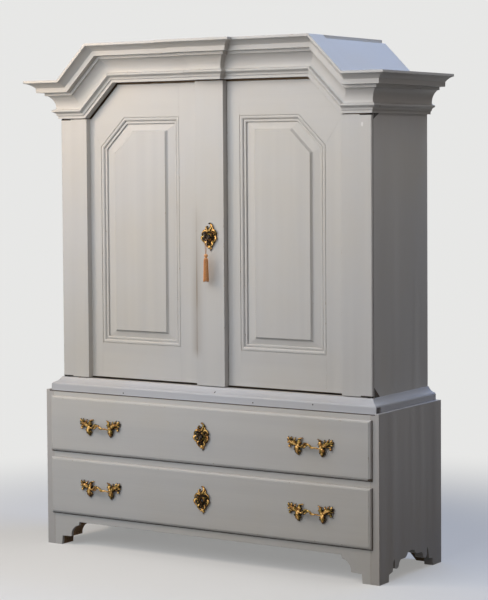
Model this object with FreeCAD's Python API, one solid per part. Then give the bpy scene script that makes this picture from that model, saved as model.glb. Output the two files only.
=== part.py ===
"""Painted two-part cupboard: a chest of two long drawers under a two-door case with a broken crown cornice.

Millimetres, +Z up, +X to the right seen from the front, the front faces -Y.
Origin: on the floor, at the middle of the cupboard's bounding box.
"""
import FreeCAD, Part
import math
import os
from FreeCAD import Rotation, Vector

os.makedirs("parts", exist_ok=True)

# ---- driving dimensions ---------------------------------------------------------------------------
BASE_HALF = 765.5              # half the chest's width, over its side boards
BASE_FRONT = -202.5            # y of the chest's front edges
BASE_DEPTH = 485.0
BASE_TOP = 624.0               # top edge of the chest's side boards
BASE_BOARD = 36.0              # chest side boards
FOOT_DEPTH = 72.0              # the front feet, from the chest's front to the back of their blocks
RAIL = 22.0                    # chest rails, front to back

CASE_HALF = 714.0              # half the upper case's width
CASE_FRONT = -156.0            # front plane: pilasters, lock strip, head board
CASE_BACK = 273.0
CASE_BOTTOM = 617.5            # the case stands down inside the chest's raised sides
CASE_BOARD = 28.0
WAIST_TOP = 674.0
WAIST_REACH = 34.5

CORNICE_BOTTOM = 1711.0        # underside of the low cornice runs
CORNICE_HEIGHT = 150.5
CORNICE_REACH = 106.0
CROWN_FOOT = 587.0             # half width where the raking underside starts
CROWN_RISE = 138.5             # 45 degree step from the low runs to the top run
BREAK_DEPTH = 27.0             # the cornice stands forward over the lock strip
BREAK_LEFT = -52.0
BREAK_RIGHT = 72.0
ROOF_BOARD = 14.0
ROOF_BACK = 289.0

PILASTER = 25.0                # pilasters, lock strip and head board, front to back
FRAME = 26.0                   # door stiles and rails, front to back
PILASTER_INNER = 585.0
PILASTER_BOTTOM = 677.0
STRIP_LEFT = -60.0
STRIP_RIGHT = 68.0
STRIP_TOP = 1845.0
DOOR_BOTTOM = 681.0
DOOR_LOW_TOP = 1708.0          # top edge over the pilaster
DOOR_TOP = 1841.5
RIGHT_DOOR_EDGE = 70.0
STILE_INNER = 126.5            # frame opening of the right-hand door
STILE_OUTER = 504.5
LEFT_SHIFT = 27.0              # the left-hand door's opening stands further out, beside its lock
BOTTOM_RAIL_TOP = 818.0
TOP_RAIL_BOTTOM = 1712.0
OPENING_CHAMFER = 114.0        # cut corner of the frame opening
MOULDING = 26.0                # width of the moulding round a panel

PIVOT_INSET = 6.0              # pivot axis behind the front and inside the side of the case
DOOR_GAP = 0.8                 # mitred joint between a door and its side board
PIN_RADIUS = 4.0
PIN_HOLE = 4.06

DRAWER_SPANS = {"lower": (129.0, 354.0), "upper": (380.0, 601.0)}
DRAWER_HALF = 737.0            # half width of a lipped drawer front
DRAWER_BACK = 240.0
DRAWER_WALL = 14.0
LIP = 12.0                     # how far a drawer front stands proud
LIP_COVER = 8.0                # how far its lip laps over the rails
THUMBNAIL = 9.0                # rounded edge of a drawer front, outside a small step
STEP = 1.0

DOOR_FACE = CASE_FRONT + PILASTER
DOOR_BACK = DOOR_FACE + FRAME
CASE_INNER = CASE_HALF - CASE_BOARD
BASE_INNER = BASE_HALF - BASE_BOARD
BASE_BACK = BASE_FRONT + BASE_DEPTH
PIVOT_X = CASE_HALF - PIVOT_INSET
PIVOT_Y = CASE_FRONT + PIVOT_INSET
LEDGE_TOP = CORNICE_BOTTOM + CORNICE_HEIGHT
LEDGE_UNDER = LEDGE_TOP - ROOF_BOARD
CROWN_TOP = LEDGE_TOP + CROWN_RISE
DIAGONAL = math.sqrt(2.0)
UP = Vector(0, 0, 1)
FORWARD = Vector(0, -1, 0)
RIGHT = Vector(1, 0, 0)


# ---- building blocks ------------------------------------------------------------------------------
def save(name, *solids):
    """Write one node; a node of several loose pieces is a compound of separate solids."""
    shape = solids[0] if len(solids) == 1 else Part.makeCompound(list(solids))
    shape.exportStep("parts/%s.step" % name)


def box(x_range, y_range, z_range):
    x_low, x_high = sorted(x_range)
    y_low, y_high = sorted(y_range)
    z_low, z_high = sorted(z_range)
    return Part.makeBox(x_high - x_low, y_high - y_low, z_high - z_low, Vector(x_low, y_low, z_low))


def rod(start, end, radius):
    return Part.makeCylinder(radius, (end - start).Length, start, end - start)


def outline_face(steps, place):
    """Face from 2-D steps; a step that is a pair of points is an arc through the first to the second."""
    edges = []
    here = steps[0]
    for step in steps[1:] + [steps[0]]:
        if isinstance(step[0], tuple):
            through, end = step
            edges.append(Part.Arc(place(*here), place(*through), place(*end)).toShape())
            here = end
        else:
            edges.append(Part.LineSegment(place(*here), place(*step)).toShape())
            here = step
    return Part.Face(Part.Wire(edges))


def front_plate(steps, y_front, y_back):
    """Board whose outline is drawn in x and z, as seen from the front."""
    face = outline_face(steps, lambda x, z: Vector(x, y_front, z))
    return face.extrude(Vector(0, y_back - y_front, 0))


def side_plate(steps, x_low, x_high):
    """Board whose outline is drawn in y and z, as seen from the side."""
    face = outline_face(steps, lambda y, z: Vector(x_low, y, z))
    return face.extrude(Vector(x_high - x_low, 0, 0))


def plan_plate(steps, z_low, z_high):
    """Board whose outline is drawn in x and y, in plan."""
    face = outline_face(steps, lambda x, y: Vector(x, y, z_low))
    return face.extrude(Vector(0, 0, z_high - z_low))


def mapped(steps, change):
    """The outline with every point changed, arcs included."""
    return [tuple(change(*p) for p in s) if isinstance(s[0], tuple) else change(*s) for s in steps]


def symmetric(half, change):
    """Closed outline: its first half, then the mirror image of that half walked back to the start."""
    ends = [step[1] if isinstance(step[0], tuple) else step for step in half]
    outline = list(half)
    if change(*ends[-1]) != ends[-1]:
        outline.append(change(*ends[-1]))
    for index in range(len(half) - 1, 0, -1):
        end = change(*ends[index - 1])
        is_arc = isinstance(half[index][0], tuple)
        outline.append((change(*half[index][0]), end) if is_arc else end)
    return outline


def flip_x(x, z):
    return (-x, z)


def half_space(point, normal):
    """Large block on the side of a plane that the normal points to."""
    size = 6000.0
    block = Part.makeBox(size, size, size, Vector(-size / 2, -size / 2, 0))
    block.Placement = FreeCAD.Placement(point, Rotation(UP, normal)) * block.Placement
    return block


def moulded_run(profile, start, end, first, second, start_cut, end_cut):
    """Length of moulding from start to end.

    The profile's two numbers run along the directions first and second. A cut is the normal of the plane
    that ends the piece, pointing away from it; the start cut passes through start, the end cut through end.
    """
    overrun = 200.0
    along = (end - start).normalize()
    origin = start - along * overrun
    run = outline_face(profile, lambda a, b: origin + first * a + second * b)
    run = run.extrude(along * ((end - start).Length + 2 * overrun))
    return run.cut(half_space(start, start_cut)).cut(half_space(end, end_cut))


def mitred_runs(profile, points, normal, first_cut=None, last_cut=None):
    """Lengths of moulding along a flat outline, mitred where they meet.

    The profile's first number runs along the outline's normal, its second outwards in the outline's
    plane. The outline runs so that normal x direction points outwards. Without end cuts it is closed.
    """
    is_closed = first_cut is None
    ends = points[1:] + points[:1] if is_closed else points[1:]
    ways = [(end - start).normalize() for start, end in zip(points, ends)]
    runs = []
    for i, (way, start, end) in enumerate(zip(ways, points, ends)):
        starts_free = not is_closed and i == 0
        ends_free = not is_closed and i == len(ways) - 1
        start_cut = first_cut if starts_free else (ways[i - 1] + way) * -1
        end_cut = last_cut if ends_free else way + ways[(i + 1) % len(ways)]
        runs.append(moulded_run(profile, start, end, normal, normal.cross(way), start_cut, end_cut))
    return runs


def bent_bar(points, radius):
    """Bar along straight runs joined by tangent arcs, each as large as its two runs allow."""
    edges = []
    here = points[0]
    for before, corner, after in zip(points, points[1:], points[2:]):
        reach = 0.45 * min((before - corner).Length, (after - corner).Length)
        back = (before - corner).normalize()
        onward = (after - corner).normalize()
        half_turn = (math.pi - back.getAngle(onward)) / 2
        bend = reach / math.tan(half_turn)
        middle = corner + (back + onward).normalize() * (bend / math.cos(half_turn) - bend)
        edges.append(Part.LineSegment(here, corner + back * reach).toShape())
        edges.append(Part.Arc(corner + back * reach, middle, corner + onward * reach).toShape())
        here = corner + onward * reach
    edges.append(Part.LineSegment(here, points[-1]).toShape())
    section = polygon(points[0], points[1] - points[0], radius, 6)
    return Part.Wire(edges).makePipeShell([section], True, False)


def polygon(centre, normal, radius, sides):
    """Regular section of a small forged, cast or twisted piece."""
    turn = Rotation(UP, normal)
    corners = [centre + turn.multVec(Vector(radius * math.cos(a), radius * math.sin(a), 0))
               for a in (math.pi * (2 * i + 1) / sides for i in range(sides))]
    return Part.makePolygon(corners + corners[:1])


def prism(start, end, radius, sides):
    return Part.Face(polygon(start, end - start, radius, sides)).extrude(end - start)


def mirrored(shape):
    return shape.mirror(Vector(0, 0, 0), RIGHT)


def save_pair(name, right_shape):
    """A piece drawn for the right-hand side, and its mirror image."""
    save(name % "right", right_shape)
    save(name % "left", mirrored(right_shape))


# ---- chest: boards --------------------------------------------------------------------------------
# Lower edge of a side board, front to middle: foot, two scrolls with a slit between them, half an arch.
half_scroll = [
    (0.0, BASE_TOP), (0.0, 0.0), (70.0, 0.0), (72.0, 27.0), (100.0, 33.0), (103.0, 50.0),
    ((106.0, 66.0), (113.0, 78.0)), (117.0, 66.0), (116.0, 48.0), ((131.0, 39.0), (147.0, 48.0)),
    ((152.0, 60.0), (164.0, 68.0)), (189.0, 68.0), ((206.0, 72.0), (216.0, 84.0)), (BASE_DEPTH / 2, 89.0),
]
scroll = symmetric(half_scroll, lambda y, z: (BASE_DEPTH - y, z))
side_board = side_plate(scroll, BASE_INNER, BASE_HALF)
side_board.translate(Vector(0, BASE_FRONT, 0))
# the front corner of the waist moulding drops into the top of the side board
waist_notch = box((BASE_INNER - 1, CASE_HALF + WAIST_REACH + 1), (BASE_FRONT - 1, CASE_FRONT + 4),
                  (CASE_BOTTOM - 0.5, BASE_TOP + 1))
save_pair("base_side_%s", side_board.cut(waist_notch))

APRON_TOP = DRAWER_SPANS["lower"][0] + LIP_COVER
half_apron = [(606.0, 98.0), (609.0, 84.0), ((636.0, 70.0), (647.0, 37.0)), (692.0, 35.0), (695.0, 0.0),
              (BASE_INNER, 0.0), (BASE_INNER, APRON_TOP)]
apron = symmetric(half_apron, flip_x)
# a block glued behind each end of the apron makes the foot thick, and is cut to the same outline
foot_block = front_plate(apron, BASE_FRONT + RAIL, BASE_FRONT + FOOT_DEPTH)
foot_block = foot_block.common(box((500.0, BASE_INNER), (BASE_FRONT, 0.0), (0.0, 98.0)))
save("front_apron", front_plate(apron, BASE_FRONT, BASE_FRONT + RAIL), foot_block, mirrored(foot_block))

PANEL_BACK = BASE_BACK - 8.0
PANEL_FRONT = PANEL_BACK - 16.0
half_back = [(580.0, 95.0), (670.0, 0.0), (BASE_INNER, 0.0), (BASE_INNER, 600.0)]
save("base_back", front_plate(symmetric(half_back, flip_x), PANEL_FRONT, PANEL_BACK))

across = (-BASE_INNER, BASE_INNER)
RAIL_BACK = BASE_FRONT + RAIL
MID_RAIL = (DRAWER_SPANS["lower"][1] - LIP_COVER, DRAWER_SPANS["upper"][0] + LIP_COVER)
TOP_RAIL = (DRAWER_SPANS["upper"][1] - LIP_COVER, CASE_BOTTOM - 1.0)
save("drawer_rails", box(across, (BASE_FRONT, RAIL_BACK), MID_RAIL),
     box(across, (BASE_FRONT, RAIL_BACK), TOP_RAIL))
save("chest_floors", box(across, (RAIL_BACK, PANEL_FRONT), (APRON_TOP - 18.0, APRON_TOP)),
     box(across, (RAIL_BACK, PANEL_FRONT), (MID_RAIL[1] - 16.0, MID_RAIL[1])))
save("base_top_board", box(across, (RAIL_BACK, PANEL_BACK), (CASE_BOTTOM - 17.0, CASE_BOTTOM)))

# ---- drawers --------------------------------------------------------------------------------------
# Lipped front with a rounded edge, two sides and a back, a bottom, and a lock behind the keyhole.
DRAWER_FACE = BASE_FRONT - LIP
LIP_BACK = BASE_FRONT - 0.3
WALL_FRONT = BASE_FRONT + 14.0
BOX_HALF = BASE_INNER - 2.0
KEYHOLE_Z = {"lower": 245.0, "upper": 489.0}
KEY_RADIUS = 3.5
KEY_BEARING = 3.56


def keyhole(x, y_range, z):
    """Round hole for the shank with a slot below it for the bit."""
    hole = rod(Vector(x, y_range[0], z), Vector(x, y_range[1], z), 5.0)
    return hole.fuse(box((x - 2.5, x + 2.5), y_range, (z - 14.5, z)))


def save_drawer(level):
    low, high = DRAWER_SPANS[level]
    key_z = KEYHOLE_Z[level]
    box_low = low + LIP_COVER + 1.0
    box_high = high - LIP_COVER - 1.5
    lip = box((-DRAWER_HALF, DRAWER_HALF), (DRAWER_FACE + STEP, LIP_BACK), (low, high))
    rim = [edge for edge in lip.Edges if all(v.Y < LIP_BACK - STEP for v in edge.Vertexes)]
    front = lip.makeFillet(THUMBNAIL - STEP, rim)
    field_half = DRAWER_HALF - THUMBNAIL
    front = front.fuse(box((-field_half, field_half), (DRAWER_FACE, LIP_BACK),
                           (low + THUMBNAIL, high - THUMBNAIL)))
    front = front.fuse(box((-BOX_HALF, BOX_HALF), (LIP_BACK, WALL_FRONT), (box_low, box_high)))
    lock = box((-38.0, 32.0), (BASE_FRONT + 2.0, WALL_FRONT), (key_z - 28.0, key_z + 40.0))
    works = rod(Vector(0, BASE_FRONT, key_z), Vector(0, WALL_FRONT, key_z), KEY_BEARING)
    works = works.fuse(rod(Vector(0, BASE_FRONT, key_z), Vector(0, BASE_FRONT + 9.0, key_z), 14.5))
    inside = (-BOX_HALF + DRAWER_WALL, BOX_HALF - DRAWER_WALL)
    floor = (box_low + 8.0, box_low + 16.0)
    side = box((inside[1], BOX_HALF), (WALL_FRONT, DRAWER_BACK), (box_low, box_high))
    back = box(inside, (DRAWER_BACK - DRAWER_WALL, DRAWER_BACK), (floor[1], box_high))
    front = front.cut(lock).cut(keyhole(0.0, (DRAWER_FACE - 1, BASE_FRONT + 3), key_z))
    save(level + "_drawer_front", front)
    save(level + "_drawer_walls", side, mirrored(side), back)
    save(level + "_drawer_bottom", box(inside, (WALL_FRONT, DRAWER_BACK), floor))
    save(level + "_drawer_lock", lock.cut(works))


for level in DRAWER_SPANS:
    save_drawer(level)

# ---- brass pulls and escutcheons ------------------------------------------------------------------
# A pull is a foliate mount at each end of a wavy bar. Outline of the right-hand mount, from the middle
# of the pull: lobes above, a leaf that reaches outwards, one that hangs down.
PULL_X = 485.0
PULL_Z = {"lower": 234.0, "upper": 480.0}
mount = [(36.0, 1.0), (43.0, 14.0), (37.0, 25.0), (46.0, 32.0), (55.0, 23.0), (65.0, 21.0), (72.0, 31.0),
         (80.0, 23.0), (90.0, 30.0), (102.0, 24.0), (95.0, 13.0), (101.0, 2.0), (88.0, 5.0), (83.0, -6.0),
         (72.0, 1.0), (63.0, -8.0), (60.0, -25.0), (50.0, -37.0), (47.0, -20.0), (41.0, -10.0)]
bar_route = [(50.0, 5.0), (30.0, 5.0), (12.0, -5.0), (-4.0, -3.0), (-18.0, 12.0), (-34.0, 4.0), (-50.0, 5.0)]


def pull(x_middle, z_middle):
    solid = bent_bar([Vector(x_middle + x, DRAWER_FACE - 22.0, z_middle + z) for x, z in bar_route], 3.6)
    for sign in (-1, 1):
        outline = [(x_middle + sign * x, z_middle + z) for x, z in mount]
        post_x = x_middle + sign * 50.0
        post = prism(Vector(post_x, DRAWER_FACE - 4.0, z_middle + 5.0),
                     Vector(post_x, DRAWER_FACE - 27.0, z_middle + 5.0), 5.5, 8)
        solid = solid.fuse(front_plate(outline, DRAWER_FACE - 5.0, DRAWER_FACE)).fuse(post)
    return solid


# Lopsided cartouche: a hooked leaf above, a lozenge round the keyhole, a small drop below.
cartouche = [(0.0, 54.0), (12.0, 48.0), (14.0, 36.0), (28.0, 30.0), (36.0, 12.0), (28.0, -8.0),
             (18.0, -28.0), (17.0, -48.0), (10.0, -55.0), (2.0, -44.0), (-14.0, -38.0), (-24.0, -24.0),
             (-36.0, -4.0), (-30.0, 12.0), (-18.0, 24.0), (-16.0, 34.0), (-4.0, 40.0), (-10.0, 52.0)]


def escutcheon(x_middle, z_middle, face_y):
    plate = front_plate([(x_middle + x, z_middle + z) for x, z in cartouche], face_y - 4.0, face_y)
    boss = prism(Vector(x_middle, face_y, z_middle), Vector(x_middle, face_y - 7.0, z_middle), 12.0, 16)
    return plate.fuse(boss).cut(keyhole(x_middle, (face_y - 9.0, face_y + 1.0), z_middle))


for level in DRAWER_SPANS:
    save(level + "_drawer_pulls", pull(-PULL_X, PULL_Z[level]), pull(PULL_X, PULL_Z[level]))
    save(level + "_drawer_escutcheon", escutcheon(0.0, KEYHOLE_Z[level], DRAWER_FACE))

# A key stands in a lock with its bit down and its bow in the plane of the shank.
BOW_RADIUS = 12.5
BOW_BAR = 2.2
BOW_STAND = 28.0               # centre of the bow in front of the face


def standing_key(x, z, face_y, tip_y, bit_y):
    bow = Vector(x, face_y - BOW_STAND, z)
    section = Part.Face(polygon(bow + UP * BOW_RADIUS, Vector(0, 1, 0), BOW_BAR, 6))
    shank = rod(Vector(x, tip_y, z), Vector(x, bow.y + BOW_RADIUS, z), KEY_RADIUS)
    collar = prism(Vector(x, face_y - 8.5, z), Vector(x, face_y - 12.0, z), 6.0, 8)
    bit = box((x - 1.5, x + 1.5), bit_y, (z - 13.5, z))
    return shank.fuse(collar).fuse(bit).fuse(section.revolve(bow, RIGHT, 360))


save("upper_drawer_key", standing_key(0.0, KEYHOLE_Z["upper"], DRAWER_FACE, WALL_FRONT - 1.0,
                                      (BASE_FRONT + 3.0, BASE_FRONT + 8.0)))

# ---- waist moulding -------------------------------------------------------------------------------
# Plain fascia, a small ovolo and a hollow; profile in height above the case's bottom and in reach.
WAIST_HEIGHT = WAIST_TOP - CASE_BOTTOM
SIDE_CLEARANCE = 7.0           # the side mouldings stop above the chest's raised side boards


def waist_profile(foot):
    return [(foot, 0.0), (foot, WAIST_REACH), (27.0, WAIST_REACH), ((32.0, 32.5), (35.5, 27.0)),
            ((43.5, 13.0), (WAIST_HEIGHT, 4.5)), (WAIST_HEIGHT, 0.0)]


def case_corner(sign, y=CASE_FRONT, z=CASE_BOTTOM):
    return Vector(sign * CASE_HALF, y, z)


waist_front = moulded_run(waist_profile(0.0), case_corner(1), case_corner(-1), UP, FORWARD,
                          Vector(1, 1, 0), Vector(-1, 1, 0))
waist_side = moulded_run(waist_profile(SIDE_CLEARANCE), case_corner(1), case_corner(1, CASE_BACK), UP, RIGHT,
                         Vector(-1, -1, 0), Vector(0, 1, 0))
# the lower half of the right-hand mitre has broken away
lost_corner = box((CASE_HALF + 8, CASE_HALF + 40), (CASE_FRONT - 40, CASE_FRONT - 4),
                  (BASE_TOP - 1, BASE_TOP + 20))
save("waist_front", waist_front)
save("waist_sides", mirrored(waist_side), waist_side.cut(lost_corner))

# ---- upper case: side boards and the irons that the doors pivot in --------------------------------
# A side board's front edge is mitred to the pilaster's; the mitre keeps DOOR_GAP from the pivot's round.
MITRE_SUM = PIVOT_X + PIVOT_Y + (PIVOT_INSET + DOOR_GAP) * DIAGONAL
side_plan = [(CASE_HALF, MITRE_SUM - CASE_HALF), (CASE_HALF, CASE_BACK), (CASE_INNER, CASE_BACK),
             (CASE_INNER, MITRE_SUM - CASE_INNER)]
case_side = plan_plate(side_plan, WAIST_TOP, CORNICE_BOTTOM)
case_side = case_side.fuse(box((CASE_INNER, CASE_HALF), (CASE_FRONT, CASE_BACK), (CASE_BOTTOM, WAIST_TOP)))
case_side = case_side.fuse(box((CASE_INNER, CASE_HALF), (DOOR_FACE, CASE_BACK),
                               (CORNICE_BOTTOM, LEDGE_UNDER)))
case_side = case_side.removeSplitter()

# Socket iron: a bored plate in the joint, with a triangular tail let into the outside of the side board.
SOCKET = 4.0
TAIL = 2.5
TAIL_FRONT = MITRE_SUM - CASE_HALF + TAIL + 0.5
pin_hole = rod(Vector(PIVOT_X, PIVOT_Y, CASE_BOTTOM + 40), Vector(PIVOT_X, PIVOT_Y, CORNICE_BOTTOM + 16),
               PIN_HOLE)


def socket_iron(z_face, z_plate, y_plate, z_tail):
    plate = box((CASE_INNER, CASE_HALF), (CASE_FRONT, y_plate), (z_face, z_plate))
    tail = side_plate([(TAIL_FRONT, z_face), (TAIL_FRONT + 42.0, z_face), (TAIL_FRONT, z_tail)],
                      CASE_HALF - TAIL, CASE_HALF)
    return plate.fuse(tail).cut(pin_hole)


low_socket = socket_iron(WAIST_TOP, WAIST_TOP - SOCKET, CASE_FRONT + 40.0, WAIST_TOP + 38.0)
high_socket = socket_iron(CORNICE_BOTTOM, CORNICE_BOTTOM + SOCKET, DOOR_FACE, CORNICE_BOTTOM - 22.0)
save_pair("case_side_%s", case_side.cut(pin_hole).cut(low_socket.fuse(high_socket)))
save("pivot_sockets", low_socket, high_socket, mirrored(low_socket), mirrored(high_socket))

# ---- upper case: boards between the sides ---------------------------------------------------------
STOP_FRONT = DOOR_BACK + 1.0
STOP_BACK = STOP_FRONT + 20.0
BOARDS_FRONT = CASE_BACK - 20.0
BOLT_X = 110.0
BOLT_Y = -97.0
BOLT_RADIUS = 5.0
bolt_holes = rod(Vector(BOLT_X, BOLT_Y, WAIST_TOP + 1), Vector(BOLT_X, BOLT_Y, CROWN_TOP - 20), 6.0)


def below_crown(drop, half_width):
    """Right half of a line parallel to the crown's underside and that far below it, from the middle out."""
    rake = CROWN_FOOT + CORNICE_BOTTOM - drop * DIAGONAL
    high = CORNICE_BOTTOM + CROWN_RISE - drop
    low = CORNICE_BOTTOM - drop
    return [(rake - high, high), (rake - low, low), (half_width, low)]


def below_roof(half_width):
    """Right half of the line under the roof boards, from the outside to the top of the slope."""
    rake = CROWN_FOOT + CORNICE_BOTTOM + (CORNICE_HEIGHT - ROOF_BOARD) * DIAGONAL
    high = CROWN_TOP - ROOF_BOARD
    return [(half_width, LEDGE_UNDER), (rake - LEDGE_UNDER, LEDGE_UNDER), (rake - high, high)]


def gable(lower_edge, y_front, y_back):
    """Board from the right half of its lower edge up to the roof boards."""
    half = lower_edge + below_roof(lower_edge[-1][0])
    return front_plate(symmetric(half, flip_x), y_front, y_back)


floor_section = [(CASE_FRONT, CASE_BOTTOM), (CASE_FRONT, WAIST_TOP), (STOP_FRONT, WAIST_TOP),
                 (STOP_FRONT, WAIST_TOP + 20), (STOP_BACK, WAIST_TOP + 20), (STOP_BACK, WAIST_TOP),
                 (BOARDS_FRONT, WAIST_TOP), (BOARDS_FRONT, WAIST_TOP - 24), (DOOR_FACE, WAIST_TOP - 24),
                 (DOOR_FACE, CASE_BOTTOM)]
save("case_floor", side_plate(floor_section, -CASE_INNER, CASE_INNER).cut(bolt_holes))
high_cut = high_socket.fuse(mirrored(high_socket)).fuse(pin_hole).fuse(mirrored(pin_hole))
save("head_board", gable(below_crown(0.0, CASE_HALF), CASE_FRONT, DOOR_FACE).cut(high_cut))
save("stop_rail", gable(below_crown(24.0, CASE_INNER), STOP_FRONT, STOP_BACK).cut(bolt_holes))

back_area = gable([(CASE_INNER, WAIST_TOP - 24)], BOARDS_FRONT, BOARDS_FRONT + 16)
board_width = 2 * CASE_INNER / 5
back_boards = []
for number in range(5):
    x_start = -CASE_INNER + number * board_width
    strip = box((x_start, x_start + board_width - 0.6), (0.0, ROOF_BACK), (0.0, CROWN_TOP))
    back_boards.append(back_area.common(strip).Solids[0])
save("back_boards", *back_boards)
save("shelves", *[box((-CASE_INNER, CASE_INNER), (-60.0, BOARDS_FRONT), (z, z + 18.0))
                  for z in (1000.0, 1330.0)])

# roof: two ledges, two slopes flush with the raking moulding, and a top board that laps over them
low_edge = below_roof(CASE_HALF)
roof_line = CROWN_FOOT + CORNICE_BOTTOM + CORNICE_HEIGHT * DIAGONAL
ledge = front_plate([(roof_line - LEDGE_TOP, LEDGE_TOP), (CASE_HALF, LEDGE_TOP), low_edge[0], low_edge[1]],
                    CASE_FRONT, ROOF_BACK)
slope = front_plate([(roof_line - LEDGE_TOP, LEDGE_TOP), low_edge[1], low_edge[2],
                     (roof_line - low_edge[2][1], low_edge[2][1])], CASE_FRONT, ROOF_BACK)
top_half = roof_line - CROWN_TOP
save("roof_boards", ledge, mirrored(ledge), slope, mirrored(slope),
     box((-top_half, top_half), (CASE_FRONT, ROOF_BACK), (CROWN_TOP - ROOF_BOARD, CROWN_TOP)))

# ---- crown cornice --------------------------------------------------------------------------------
# Profile as reach from the case and height above the underside: fillet, ovolo, astragal, deep cove,
# soffit, fascia and a hollow under the tip.
cornice = [
    (0.0, 0.0), (7.0, 0.0), (7.0, 11.0), (11.0, 12.0), (11.5, 14.5), ((14.0, 20.8), (19.5, 24.0)),
    (20.0, 25.6), (23.0, 26.0), ((26.0, 31.0), (22.0, 35.5)),
    (14.0, 38.0), (12.5, 45.0), ((18.9, 71.0), (35.8, 90.4)), (45.0, 91.5), (45.0, 102.0), (69.0, 103.5),
    (70.0, 121.5), ((83.0, 132.5), (104.0, 140.5)), (CORNICE_REACH, 141.5), (CORNICE_REACH, CORNICE_HEIGHT),
    (0.0, CORNICE_HEIGHT),
]
crown = [Vector(-x, CASE_FRONT, z) for x, z in reversed(below_crown(0.0, CASE_HALF))]
crown += [Vector(-point.x, point.y, point.z) for point in reversed(crown)]
runs = mitred_runs(cornice, crown, FORWARD, Vector(-1, 1, 0), Vector(1, 1, 0))
cornice_return = moulded_run(cornice, crown[-1], crown[-1] + Vector(0, ROOF_BACK - CASE_FRONT, 0), RIGHT, UP,
                             Vector(-1, -1, 0), Vector(0, 1, 0))
save("cornice_low_runs", runs[0], runs[4])
save("cornice_raking_runs", runs[1], runs[3])
save("cornice_top_run", runs[2])
save("cornice_returns", cornice_return, mirrored(cornice_return))

# The centre break has the same profile on its front and both returns; the top run passes behind it.
TOP_BOTTOM = CORNICE_BOTTOM + CROWN_RISE


def cornice_mass(y_front):
    """Everything behind the face of a straight cornice whose front plane is at y_front."""
    face = mapped(cornice[1:-1], lambda reach, height: (y_front - reach, TOP_BOTTOM + height))
    return side_plate(face + [(0.0, CROWN_TOP), (0.0, TOP_BOTTOM)], -400.0, 400.0)


break_end = mapped(cornice[1:-1], lambda reach, height: (BREAK_RIGHT + reach, TOP_BOTTOM + height))
break_ends = symmetric(break_end, lambda x, z: (BREAK_LEFT + BREAK_RIGHT - x, z))
centre_break = cornice_mass(CASE_FRONT - BREAK_DEPTH).common(front_plate(break_ends, -400.0, 0.0))
save("cornice_centre_break", centre_break.cut(cornice_mass(CASE_FRONT)).Solids[0])

# ---- doors: frames, panels and pilasters, drawn as the right-hand door ----------------------------
DOOR_SUM = PIVOT_X + PIVOT_Y + PIVOT_INSET * DIAGONAL
DOOR_RAKE = CROWN_FOOT + CORNICE_BOTTOM - 8.0 * DIAGONAL
OPENING_RAKE = STILE_OUTER + TOP_RAIL_BOTTOM - OPENING_CHAMFER
rake_top = (DOOR_RAKE - DOOR_TOP, DOOR_TOP)
rake_foot = (DOOR_RAKE - DOOR_LOW_TOP, DOOR_LOW_TOP)


def opening(inset, shift=0.0):
    """Outline of the frame opening moved inwards and outwards, clockwise from its lower inner corner."""
    left = STILE_INNER + inset + shift
    right = STILE_OUTER - inset + shift
    top = TOP_RAIL_BOTTOM - inset
    bottom = BOTTOM_RAIL_TOP + inset
    rake = OPENING_RAKE - inset * DIAGONAL + shift
    return [(left, bottom), (left, top), (rake - top, top), (right, rake - right), (right, bottom)]


stile_back = CASE_INNER - 1.5
stile_plan = [(400.0, DOOR_FACE), (DOOR_SUM - DOOR_FACE, DOOR_FACE), (stile_back, DOOR_SUM - stile_back),
              (stile_back, DOOR_BACK), (400.0, DOOR_BACK)]


def door_frame(shift):
    """Hinge stile, then bottom, top and raking rails, with the opening moved outwards by shift."""
    low_inner, high_inner, high_rake, low_rake, low_outer = opening(0.0, shift)
    outer = [(CASE_HALF, DOOR_LOW_TOP), (CASE_HALF, DOOR_BOTTOM)]
    stile = front_plate([(low_outer[0], DOOR_BOTTOM), low_rake, rake_foot] + outer, DOOR_FACE, DOOR_BACK)
    foot_rail = [(low_inner[0], DOOR_BOTTOM), low_inner, low_outer, (low_outer[0], DOOR_BOTTOM)]
    head_rail = [high_inner, (high_inner[0], DOOR_TOP), rake_top, high_rake]
    raking_rail = [high_rake, rake_top, rake_foot, low_rake]
    rails = [front_plate(outline, DOOR_FACE, DOOR_BACK) for outline in (foot_rail, head_rail, raking_rail)]
    return stile.common(plan_plate(stile_plan, 0.0, CROWN_TOP)), rails


# raised panel: a wide border that slopes a little, a steep edge and a flat field
def field(grow):
    """Outline of the flat field moved outwards, in the order of the opening's."""
    left, right, bottom, top = 194.0 - grow, 437.0 + grow, 872.0 - grow, 1654.0 + grow
    rake = 2006.0 + grow * DIAGONAL
    return [(left, bottom), (left, top), (rake - top, top), (right, rake - right), (right, bottom)]


def polygon_wire(points, y):
    corners = [Vector(x, y, z) for x, z in points]
    return Part.makePolygon(corners + corners[:1])


panel = front_plate(opening(1.0), DOOR_FACE + 12.0, DOOR_FACE + 21.0)
bevel = Part.makeLoft([polygon_wire(opening(MOULDING + 1.0), DOOR_FACE + 12.0),
                       polygon_wire(field(7.0), DOOR_FACE + 8.5),
                       polygon_wire(field(0.0), DOOR_FACE + 1.5)], True, True)
panel = panel.fuse(bevel).fuse(front_plate(field(0.0), DOOR_FACE, DOOR_FACE + 1.5))

# moulding round the panel, let into the opening: height above the frame, then distance from the sight
# line. A nosing, a quirk, an ovolo that rises flush with the frame, and a quirk beside the frame.
panel_moulding = [(-11.0, 0.0), (-8.5, 0.0), ((-6.3, 1.8), (-5.8, 5.5)), (-5.8, 8.6), (-7.4, 9.2),
                  (-7.4, 11.0), (-5.0, 11.4), ((-1.6, 14.4), (-0.2, 19.5)), (-0.4, 24.0), (-2.8, 24.4),
                  (-2.8, MOULDING), (-11.0, MOULDING)]
sight_line = [Vector(x, DOOR_FACE, z) for x, z in opening(MOULDING)]
moulding = mitred_runs(panel_moulding, sight_line, FORWARD)

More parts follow.
